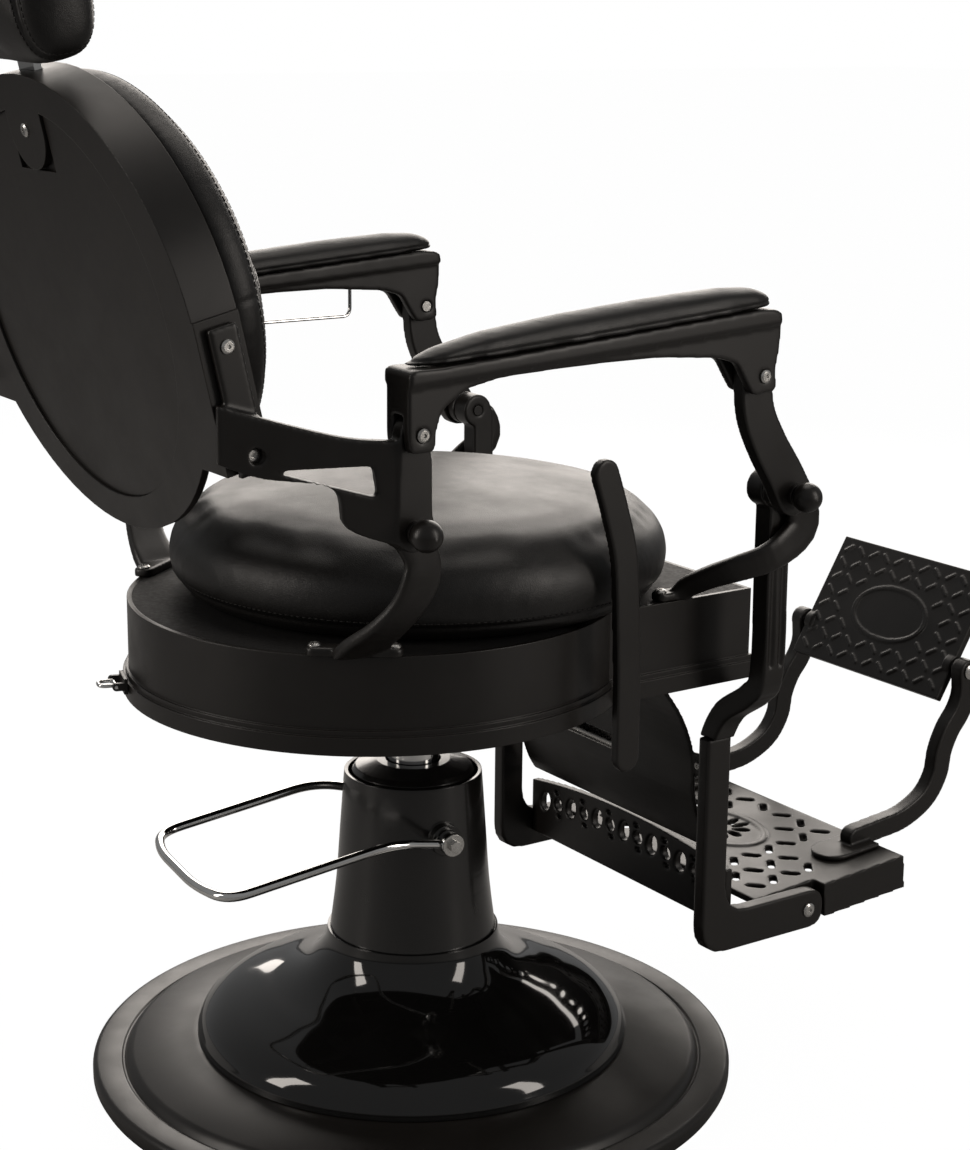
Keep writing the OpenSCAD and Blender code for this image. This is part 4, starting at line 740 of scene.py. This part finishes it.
@dataclass(frozen=True)
class Lamp:
    """One soft box that faces the chair.

    Azimuths are in degrees from the front (-Y) turning towards +X, lengths in metres and power in
    watts.
    """

    name: str
    azimuth: float
    height: float
    distance: float
    width: float
    tall: float
    power: float


@dataclass
class Studio:
    """Camera, floor, lamps and white surround."""

    eye: Point = (-1.9783, 1.2691, 1.1411)
    right: Point = (-0.5646, -0.8253, 0.0098)
    up: Point = (0.2060, -0.1293, 0.9700)
    back: Point = (-0.7992, 0.5497, 0.2430)
    focal_px: float = 2297.4
    long_side_px: float = 1150.0
    sensor: float = 36.0
    near: float = 0.05
    far: float = 200.0
    floor_size: float = 60.0
    floor_grey: float = 0.3
    floor_glow: float = 1.06
    glow_share: float = 0.93
    ambient: float = 0.22
    mirrored: float = 0.09
    warmth: Color = (1.0, 0.93, 0.86)
    middle: Point = (0.0, 0.0, 0.6)
    lamps: tuple[Lamp, ...] = (
        Lamp("overhead_box", 55.0, 3.4, 0.9, 2.4, 1.6, 22.0),
        Lamp("left_box", 300.0, 1.6, 2.9, 0.6, 2.2, 28.0),
        Lamp("right_box", 165.0, 1.7, 2.9, 0.6, 2.2, 36.0),
        Lamp("rear_box", 50.0, 1.9, 3.4, 3.6, 2.4, 100.0),
    )

    def camera(self) -> None:
        """Places the camera at the photograph's viewpoint."""
        data = bpy.data.cameras.new("camera")
        data.sensor_width = self.sensor
        data.lens = self.focal_px * self.sensor / self.long_side_px
        data.clip_start, data.clip_end = self.near, self.far
        obj = linked("camera", data)
        turn = Matrix((self.right, self.up, self.back)).transposed().to_4x4()
        obj.matrix_world = Matrix.Translation(self.eye) @ turn
        bpy.context.scene.camera = obj

    def floor(self) -> None:
        """Lays the floor, nearly white to the camera and dim to everything else."""
        bm = bmesh.new()
        bmesh.ops.create_grid(bm, x_segments=1, y_segments=1, size=self.floor_size / 2)
        mesh = meshed("floor", bm)
        g = Graph("floor_pale")
        g.set(Base_Color=(self.floor_grey,) * 3 + (1.0,), Roughness=0.6, Specular_IOR_Level=0.1)
        glow = g.add("ShaderNodeEmission", None, {"Color": WHITE, "Strength": self.floor_glow})
        seen = g.add("ShaderNodeLightPath").outputs["Is Camera Ray"]
        share = g.math("MULTIPLY", seen, self.glow_share)
        mixed = g.add("ShaderNodeMixShader", None,
                      {0: share, 1: g.shader.outputs[0], 2: glow.outputs[0]})
        g.feed(g.out, "Surface", mixed.outputs[0])
        mesh.materials.append(g.material)
        obj = linked("floor", mesh)

    def hang(self, lamp: Lamp) -> None:
        """Hangs a lamp."""
        data = bpy.data.lights.new(lamp.name, "AREA")
        data.shape = "RECTANGLE"
        data.size, data.size_y = lamp.width, lamp.tall
        data.energy = lamp.power
        data.color = self.warmth
        obj = linked(lamp.name, data)
        a = math.radians(lamp.azimuth)
        place = Vector((math.sin(a) * lamp.distance, -math.cos(a) * lamp.distance, lamp.height))
        obj.location = place
        obj.rotation_mode = "QUATERNION"
        obj.rotation_quaternion = (place - Vector(self.middle)).to_track_quat("Z", "Y")

    def surround(self) -> None:
        """Sets a white background, dim in reflections and dimmer than white as ambient light."""
        world = bpy.data.worlds.new("surround")
        bpy.context.scene.world = world
        nodes = Nodes(world)
        path = nodes.add("ShaderNodeLightPath").outputs
        glossy = nodes.math("MULTIPLY", path["Is Glossy Ray"], self.mirrored)
        seen = nodes.math("MAXIMUM", path["Is Camera Ray"], glossy)
        seen = nodes.math("MAXIMUM", seen, path["Is Transmission Ray"])
        level = nodes.math("MAXIMUM", seen, self.ambient)
        sky = nodes.add("ShaderNodeBackground", None, {"Color": WHITE, "Strength": level})
        nodes.add("ShaderNodeOutputWorld", None, {"Surface": sky.outputs[0]})

    def build(self) -> None:
        """Sets up the whole studio."""
        bpy.context.scene.view_settings.view_transform = "Standard"
        self.camera()
        self.floor()
        self.surround()
        for lamp in self.lamps:
            self.hang(lamp)


# ---- Base and column ----


@dataclass
class Base:
    """The turned base disc, its rubber ring and the glossy bell."""

    rim_r: float = 350 * MM
    floor_gap: float = 4 * MM
    top_z: float = 21 * MM
    crown_z: float = 42 * MM
    bell_r: float = 236 * MM
    neck_r: float = 93 * MM
    bell_top_z: float = 160 * MM
    wall: float = 9 * MM
    boss_r: float = 70 * MM
    boss_h: float = 20 * MM
    steps: int = 160

    def disc(self, finish: Finish) -> None:
        """Builds the base disc with its groove and soft steps."""
        r, top = self.rim_r, self.top_z
        groove = r - 32 * MM
        outline = [
            (r - self.wall, self.floor_gap), (r - 1.5 * MM, self.floor_gap),
            (r, self.floor_gap + 1.5 * MM),
            (r, top - 6 * MM), (r - 0.7 * MM, top - 3.4 * MM), (r - 2.6 * MM, top - 1.2 * MM),
            (r - 6 * MM, top), (groove + 1.2 * MM, top), (groove + 0.2 * MM, top - 0.8 * MM),
            (groove - 0.6 * MM, top - 2 * MM), (groove - 2.4 * MM, top - 2 * MM),
            (groove - 3.4 * MM, top - 0.6 * MM), (groove - 5 * MM, top + 2.6 * MM),
            (groove - 8 * MM, top + 5.8 * MM), (groove - 13 * MM, top + 8.2 * MM),
        ]
        inner = [
            (self.bell_r + 20 * MM, top + 15.6 * MM),
            (self.bell_r + 6 * MM, self.crown_z - 1.6 * MM), (self.bell_r - 4 * MM, self.crown_z),
            (self.bell_r - 12 * MM, self.crown_z),
            (self.bell_r - 12 * MM, self.crown_z - self.wall),
            (groove - 12 * MM, top - self.wall + 4 * MM), (r - self.wall, top - self.wall),
        ]
        bm = spun(outline + inner, self.steps)
        middle = Vector((0, 0, self.floor_gap + self.boss_h / 2))
        pin(bm, middle, Vector((0, 0, 1)), self.boss_r, self.boss_h, 64)
        obj = piece("base_disc", bm, finish, 32.0)
        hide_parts("base_plate")
        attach(obj, "base")

    def bell(self, finish: Finish) -> None:
        """Builds the glossy bell."""
        shares = [
            (1.0, 0.0), (0.998, 0.035), (0.992, 0.075), (0.94, 0.2), (0.8, 0.33), (0.57, 0.44),
            (0.35, 0.53), (0.19, 0.63), (0.08, 0.76), (0.02, 0.88), (0.0, 1.0),
        ]
        low = self.crown_z + 0.3 * MM
        flare, rise = self.bell_r - self.neck_r, self.bell_top_z - low
        points = [Vector((self.neck_r + s * flare, low + t * rise, 0)) for s, t in shares]
        outer = [(p.x, p.y) for p in smooth_curve(points)]
        rim = [(self.bell_r - 3.4 * MM, low), (self.bell_r - 1.4 * MM, low)]
        inner = [(max(x - 3 * MM, self.neck_r - 3 * MM), y) for x, y in reversed(outer[6:])]
        obj = piece("bell_gloss", spun(rim + outer + inner, self.steps), finish, 40.0)
        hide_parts("bell_cover")
        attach(obj, "base")

    def ring(self, finish: Finish) -> None:
        """Builds the ribbed rubber ring under the disc."""
        r = self.rim_r - 2.5 * MM
        outline = [
            (r - 15.5 * MM, 0.0), (r - 1.2 * MM, 0.0), (r, 1.0 * MM), (r - 0.9 * MM, 2.0 * MM),
            (r, 3.0 * MM), (r - 1.0 * MM, self.floor_gap), (r - 15.5 * MM, self.floor_gap),
        ]
        obj = piece("floor_ring_ribbed", spun(outline, self.steps), finish, 40.0)
        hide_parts("floor_ring")
        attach(obj, "base")

    def build(self, finishes: Finishes) -> None:
        """Builds every piece of the base."""
        self.disc(finishes.base)
        self.bell(finishes.gloss)
        self.ring(finishes.rubber)


@dataclass
class PumpLever:
    """The chromed stirrup that pumps the seat up."""

    z: float = 284 * MM
    turn: float = math.radians(-8.0)
    hub_x: float = 93.5 * MM
    half_w: float = 106 * MM
    reach: float = 268 * MM
    drop: float = 17 * MM
    rod_r: float = 5 * MM
    hub_r: float = 12 * MM
    hub_w: float = 14 * MM
    bend: float = 30 * MM

    def build(self, finishes: Finishes) -> None:
        """Builds the lever with its two hubs."""
        leg = [
            Vector((-self.hub_x, 10 * MM, 0)), Vector((-self.half_w, self.reach * 0.26, 14 * MM)),
            Vector((-self.half_w, self.reach * 0.94, -self.drop)),
            Vector((-self.half_w * 0.5, self.reach, -self.drop)),
        ]
        route = leg + [Vector((-p.x, p.y, p.z)) for p in reversed(leg)]
        bm = bmesh.new()
        swept(bm, rounded_route(route, self.bend), self.rod_r, 24)
        for x in (-self.hub_x, self.hub_x):
            pin(bm, Vector((x, 0, 0)), Vector((1, 0, 0)), self.hub_r, self.hub_w, 40)
        place = Matrix.Translation((0, 0, self.z)) @ Matrix.Rotation(self.turn, 4, "Z")
        obj = piece("pump_lever_chrome", placed(bm, place), finishes.chrome, 40.0)
        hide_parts("pump_lever")
        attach(obj, "pump_pedal")


# ---- Seat, back, headrest and arms ----


@dataclass
class SeatCushion:
    """The round seat cushion, pulled in where it rests on the deck."""

    radius: float = 265 * MM
    shift: float = -6 * MM
    low: float = 543.3 * MM
    height: float = 111.7 * MM
    seam_z: float = 561 * MM
    seam_deep: float = 2.2 * MM
    seam_wide: float = 2.4 * MM
    pitch: float = 6.5 * MM
    inset: float = 3 * MM

    def build(self, finishes: Finishes) -> None:
        """Builds the cushion and the row of stitches over its welt."""
        shares = [
            (0.0, 0.0), (0.5, 0.0), (0.86, 0.0), (0.915, 0.03), (0.95, 0.1), (0.985, 0.2),
            (1.0, 0.36), (0.99, 0.54), (0.95, 0.7), (0.86, 0.83), (0.7, 0.92), (0.45, 0.98),
            (0.2, 0.996), (0.0, 1.0),
        ]
        profile = [((self.radius - self.inset) * s, self.low + t * (self.height - self.inset))
                   for s, t in shares]
        bm = spun(profile, 96, closed=False)
        bmesh.ops.translate(bm, verts=bm.verts, vec=(0, self.shift, 0))
        mesh = Stuffing(6 * MM, 4.0, 6 * MM).swell(
            "seat_cushion", bm, lambda co: co.z < self.low + 6 * MM)
        dented(mesh, lambda co: self.seam_deep * bell_curve(co.z - self.seam_z, self.seam_wide),
               lambda co: Vector((co.x, co.y, max(co.z, self.low))))
        obj = dressed("seat_cushion_leather", mesh, finishes.leather, ROUND)
        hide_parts("seat_cushion")
        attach(obj, "seat")
        middle = Vector((0, self.shift, self.seam_z + 6 * MM))
        rays = [(middle + Vector((math.cos(a), math.sin(a), 0)) * 0.5, middle)
                for a in turn_of_angles(240)]
        stitched("seat_cushion_stitches", mesh, [rays], self.pitch, finishes.thread, "seat")


@dataclass(frozen=True)
class BackFrame:
    """The leaning frame of the back: X across, Y to the rear of its rear face, Z up it."""

    y: float = 380 * MM
    z: float = 860 * MM
    lean: float = math.radians(13)

    def matrix(self) -> Matrix:
        """Places the frame in the row frame."""
        return Matrix.Translation((0, self.y, self.z)) @ Matrix.Rotation(-self.lean, 4, "X")


@dataclass
class BackCushion:
    """The oval back cushion: a band round its edge, a crowned front and a seam between them."""

    place: Matrix = field(default_factory=lambda: BackFrame().matrix())
    half_w: float = 241 * MM
    half_h: float = 196 * MM
    lift: float = 16 * MM
    rear: float = -45.3 * MM
    depth: float = 62 * MM
    inset: float = 4 * MM
    seam_depth: float = 36 * MM
    cross_z: float = 14 * MM
    row_gap: float = 5 * MM
    pitch: float = 6.5 * MM
    board_half_w: float = 244.5 * MM
    board_half_h: float = 212.5 * MM
    board_top: float = 127 * MM
    board_t: float = 9.5 * MM

    def ring(self, depth: float) -> list[tuple[Vector, Vector]]:
        """Rays from all round the cushion, at one depth ahead of its rear face."""
        aim = Vector((0, self.rear - depth, self.lift))
        reach = 1.6
        return [(self.place @ (aim + Vector(
            (math.cos(a) * self.half_w, 0, math.sin(a) * self.half_h)) * reach), self.place @ aim)
            for a in turn_of_angles(300)]

    def upright(self, y: float, z: float) -> Matrix:
        """Turns a form spun about Z to face forwards, at a place of the back's frame."""
        return Matrix.Translation((0, y, z)) @ Matrix.Rotation(math.radians(-90), 4, "X")

    def seam(self, co: Vector) -> float:
        """Depth of the seams at a point of the upright cushion."""
        side = math.hypot(co.x / self.half_w, (co.z - self.lift) / self.half_h)
        ahead = self.rear - co.y
        if side < 0.8:
            return 0.0
        sunk = 1.8 * MM * bell_curve(ahead - self.seam_depth, 2.2 * MM)
        if 3 * MM < ahead < self.seam_depth:
            sunk = max(sunk, 1.3 * MM * bell_curve(co.z - self.cross_z, 1.8 * MM))
        return sunk

    def build(self, finishes: Finishes) -> None:
        """Builds the cushion with its seams and stitches."""
        profile = [(0.0, 0.0), (0.5, 0.0), (1.0, 0.0), (1.006, 0.16), (1.006, 0.36), (0.985, 0.56),
                   (0.9, 0.76), (0.72, 0.9), (0.45, 0.98), (0.0, 1.0)]
        depth = self.depth - self.inset
        bm = spun([(r, -t * depth) for r, t in profile], 96, closed=False)
        half = (self.half_w - self.inset, self.half_h - self.inset, 1.0)
        bmesh.ops.scale(bm, vec=half, verts=bm.verts)
        mesh = Stuffing(5 * MM, 4.0, 6 * MM).swell(
            "back_cushion", placed(bm, self.upright(self.rear, self.lift)),
            lambda co: co.y > self.rear - 5 * MM)
        dented(mesh, self.seam, lambda co: Vector((co.x, min(co.y, self.rear), co.z)))
        mesh.transform(self.place)
        obj = dressed("back_cushion_leather", mesh, finishes.leather, ROUND)
        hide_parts("back_cushion")
        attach(obj, "back")
        rows = [self.ring(self.seam_depth + off) for off in (self.row_gap, -self.row_gap)]
        stitched("back_cushion_stitches", mesh, rows, self.pitch, finishes.thread, "back")

    def board(self, finishes: Finishes) -> None:
        """Builds the covered board inside the wall that carries the cushion."""
        bm = bmesh.new()
        made = bmesh.ops.create_circle(bm, cap_ends=True, segments=120, radius=1.0)["verts"]
        bmesh.ops.scale(bm, vec=(self.board_half_w, self.board_half_h, 1.0), verts=made)
        sides = bmesh.ops.extrude_face_region(bm, geom=list(bm.faces))["geom"]
        bmesh.ops.translate(bm, verts=only_verts(sides), vec=(0, 0, self.board_t))
        bmesh.ops.bisect_plane(bm, geom=list(bm.verts) + list(bm.edges) + list(bm.faces),
                               plane_co=(0, self.board_top, 0), plane_no=(0, 1, 0),
                               clear_outer=True)
        bmesh.ops.holes_fill(bm, edges=[e for e in bm.edges if e.is_boundary], sides=0)
        place = self.place @ self.upright(self.rear + 0.2 * MM, 0)
        obj = piece("back_cushion_board", placed(bm, place), finishes.leather, 30.0)
        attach(obj, "back")


@dataclass
class Headrest:
    """The headrest pillow, with a panel let into each end by a twin row of stitches."""

    place: Matrix = field(default_factory=lambda: BackFrame().matrix())
    height: float = 150 * MM
    thick: float = 84 * MM
    low: float = 225 * MM
    front: float = -50 * MM
    shrink: tuple[float, float, float, float] = (0.97, 0.93, 0.955, 1.0)
    frame_half_w: float = 42 * MM
    frame_top: float = 78 * MM
    frame_rear: float = 6 * MM
    seam_x: float = 113 * MM
    seam_deep: float = 2.4 * MM
    seam_wide: float = 2.6 * MM
    row_gap: float = 4.5 * MM
    pitch: float = 5.5 * MM

    def held(self, co: Vector) -> bool:
        """Says whether a point lies by the frame inside the pillow, which holds it."""
        up = co.z - self.low
        return abs(co.x) < self.frame_half_w and up < self.frame_top and co.y < self.frame_rear

    def seam(self, co: Vector) -> float:
        """Depth of the seams at a point of the upright pillow."""
        return self.seam_deep * bell_curve(abs(co.x) - self.seam_x, self.seam_wide)

    def build(self, finishes: Finishes) -> None:
        """Builds the pillow, its seams and its stitches."""
        bm = merged_copy("headrest_cushion")
        bmesh.ops.transform(bm, matrix=self.place.inverted(), verts=bm.verts)
        middle = Vector((0, self.front + self.thick / 2, self.low + self.height / 2))
        inwards = (Matrix.Translation(middle) @ Matrix.Diagonal(self.shrink)
                   @ Matrix.Translation(-middle))
        bmesh.ops.transform(bm, matrix=inwards, verts=bm.verts)
        mesh = Stuffing(4.5 * MM, 4.5, 7 * MM, 4).swell("headrest", bm, self.held)
        dented(mesh, self.seam)
        mesh.transform(self.place)
        obj = dressed("headrest_leather", mesh, finishes.leather, ROUND)
        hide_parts("headrest_cushion")
        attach(obj, "headrest")
        rows = []
        for x in (-self.seam_x, self.seam_x):
            for off in (-self.row_gap, self.row_gap):
                aim = Vector((x + off, middle.y, middle.z))
                out = [Vector((0, math.cos(a), math.sin(a))) * 0.2 for a in turn_of_angles(90)]
                rows.append([(self.place @ (aim + ray), self.place @ aim) for ray in out])
        stitched("headrest_stitches", mesh, rows, self.pitch, finishes.thread, "headrest")


@dataclass
class ArmPad:
    """One arm pad: a long, crowned pad with a seam just over the casting."""

    side: str
    rear_z: float = 829.3 * MM
    slope: float = 0.0732
    flat_y: float = 178 * MM
    seam_up: float = 5.5 * MM
    seam_deep: float = 1.2 * MM
    seam_wide: float = 1.4 * MM

    def base(self, y: float) -> float:
        """Height of the casting's top under the pad."""
        return self.rear_z + self.slope * max(self.flat_y - y, 0.0)

    def seam(self, co: Vector) -> float:
        """Depth of the seam at a point."""
        return self.seam_deep * bell_curve(co.z - self.base(co.y) - self.seam_up, self.seam_wide)

    def build(self, finishes: Finishes) -> None:
        """Builds the pad."""
        bm = merged_copy(f"arm_pad_{self.side}")
        mesh = Stuffing(3.2 * MM, 5.0, 3 * MM, 5).swell(
            f"arm_pad_{self.side}", bm, lambda co: co.z < self.base(co.y) + 2 * MM)
        dented(mesh, self.seam, lambda co: Vector((co.x, co.y, max(co.z, self.base(co.y)))))
        obj = dressed(f"arm_pad_{self.side}_leather", mesh, finishes.leather, ROUND)
        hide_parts(f"arm_pad_{self.side}")
        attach(obj, f"arm_{self.side}")


@dataclass
class Wires:
    """The strop ring and the towel rail, bent from round wire."""

    def towel_rail(self, finishes: Finishes) -> None:
        """Builds the rail under the left arm."""
        x, low, top = 300 * MM, 784 * MM, 820 * MM
        rear, front = 118 * MM, -104 * MM
        corners = (rear, top), (rear, low), (front, low), (front, top)
        route = [Vector((x, y, z)) for y, z in corners]
        bm = bmesh.new()
        swept(bm, rounded_route(route, 10 * MM), 2 * MM, 16)
        bmesh.ops.recalc_face_normals(bm, faces=bm.faces)
        obj = piece("towel_rail_wire", bm, finishes.chrome, 40.0)
        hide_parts("towel_rail")
        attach(obj, "arm_left")

    def strop_ring(self, finishes: Finishes) -> None:
        """Builds the ring behind the apron."""
        half, reach, from_middle = 9 * MM, 16 * MM, 274 * MM
        apron_middle = Matrix.Translation((0, 48 * MM, 463 * MM))
        turn = Matrix.Rotation(math.radians(-17), 4, "Z")
        place = apron_middle @ turn @ Matrix.Translation((0, from_middle, 0))
        corners = (-half, 0, 0), (-half, reach, 0), (half, reach, 0), (half, 0, 0)
        bm = bmesh.new()
        swept(bm, rounded_route([Vector(c) for c in corners], 8 * MM), 1.95 * MM, 16)
        pin(bm, Vector((0, 0, 0)), Vector((1, 0, 0)), 2 * MM, 34 * MM, 20)
        obj = piece("strop_ring_wire", placed(bm, place), finishes.chrome, 40.0)
        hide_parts("strop_ring")
        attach(obj, "strop_loop")

    def build(self, finishes: Finishes) -> None:
        """Builds both."""
        self.towel_rail(finishes)
        self.strop_ring(finishes)


class Castings:
    """Every casting, with its body and the size of its grid in mm, or 0 for none."""

    pairs = {
        "seat": {"rear_support": 1.8, "front_wing": 1.6},
        "back": {"back_bracket": 1.8},
        "legs": {"front_link": 1.6, "leg_post": 1.7, "hanger": 1.7},
        "lower_plate": {"curved_arm": 1.6},
    }
    singles = {
        "seat": {"apron_shell": 0},
        "recline_handle": {"recline_lever": 1.5},
        "back": {"back_shell": 0, "back_panel": 0},
        "legs": {"calf_panel": 1.7, "footrest_back": 1.5},
        "lower_plate": {"lower_footplate": 1.6},
        "upper_plate": {"upper_footplate": 1.2},
    }

    def build(self, finishes: Finishes) -> None:
        """Builds every casting."""
        for side in ("right", "left"):
            Casting(f"arm_frame_{side}", f"arm_{side}", 1.8 * MM, 4).build(finishes.cast)
            for body, group in self.pairs.items():
                for node, voxel in group.items():
                    Casting(f"{node}_{side}", body, voxel * MM, 4).build(finishes.cast)
        for body, group in self.singles.items():
            for node, voxel in group.items():
                Casting(node, body, voxel * MM, 2).build(finishes.cast)


def both(*names: str) -> list[str]:
    """The right and left node of each name."""
    return [f"{name}_{side}" for name in names for side in ("right", "left")]


class PlainNodes:
    """The finish of every CAD node, also of those that a piece stands for."""

    def build(self, finishes: Finishes) -> None:
        """Gives every CAD node its finish."""
        groups = {
            finishes.cast: [
                "swivel_plate", "apron_shell", "back_axles", "strop_bracket", "recline_bracket",
                "recline_lever", "leg_axles", "calf_panel", "footrest_back", "lower_footplate",
                "upper_footplate", "back_shell", "back_panel", "headrest_guide", "headrest_frame",
                "seat_frame",
                *both("rear_support", "front_wing", "front_link", "leg_post", "hanger",
                      "curved_arm", "back_bracket", "arm_frame"),
            ],
            finishes.column: ["column_sleeve", "column_collar"],
            finishes.gloss: ["bell_cover"],
            finishes.base: ["base_plate"],
            finishes.rubber: ["floor_ring", "centre_pad"],
            finishes.board: ["seat_deck"],
            finishes.chrome: [
                "lift_ram", "pump_lever", "strop_ring", "towel_rail", "headrest_post",
            ],
            finishes.steel: [
                "pump_cylinder", "pump_shaft", "pump_lever_bolts", "recline_shaft", "seat_screws",
                "footrest_screws", "footplate_pins", "upper_plate_pins", "back_screws",
                *both("arm_pins"),
            ],
            finishes.leather: [
                "seat_cushion", "back_cushion", "headrest_cushion", *both("arm_pad"),
            ],
        }
        for finish, nodes in groups.items():
            for node in nodes:
                dress_node(node, finish)
        missing = set(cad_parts) - {n for nodes in groups.values() for n in nodes}
        if missing:
            raise ValueError(f"no finish for {sorted(missing)}")


def main() -> None:
    """Builds the chair and its studio in order."""
    logging.basicConfig(level=logging.INFO, format="%(name)s %(message)s")
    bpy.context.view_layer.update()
    Studio().build()
    finishes = Finishes()
    PlainNodes().build(finishes)
    Base().build(finishes)
    PumpLever().build(finishes)
    SeatCushion().build(finishes)
    cushion = BackCushion()
    cushion.build(finishes)
    cushion.board(finishes)
    Headrest().build(finishes)
    for side in ("right", "left"):
        ArmPad(side).build(finishes)
    Wires().build(finishes)
    Castings().build(finishes)


if __name__ == "__main__":
    main()
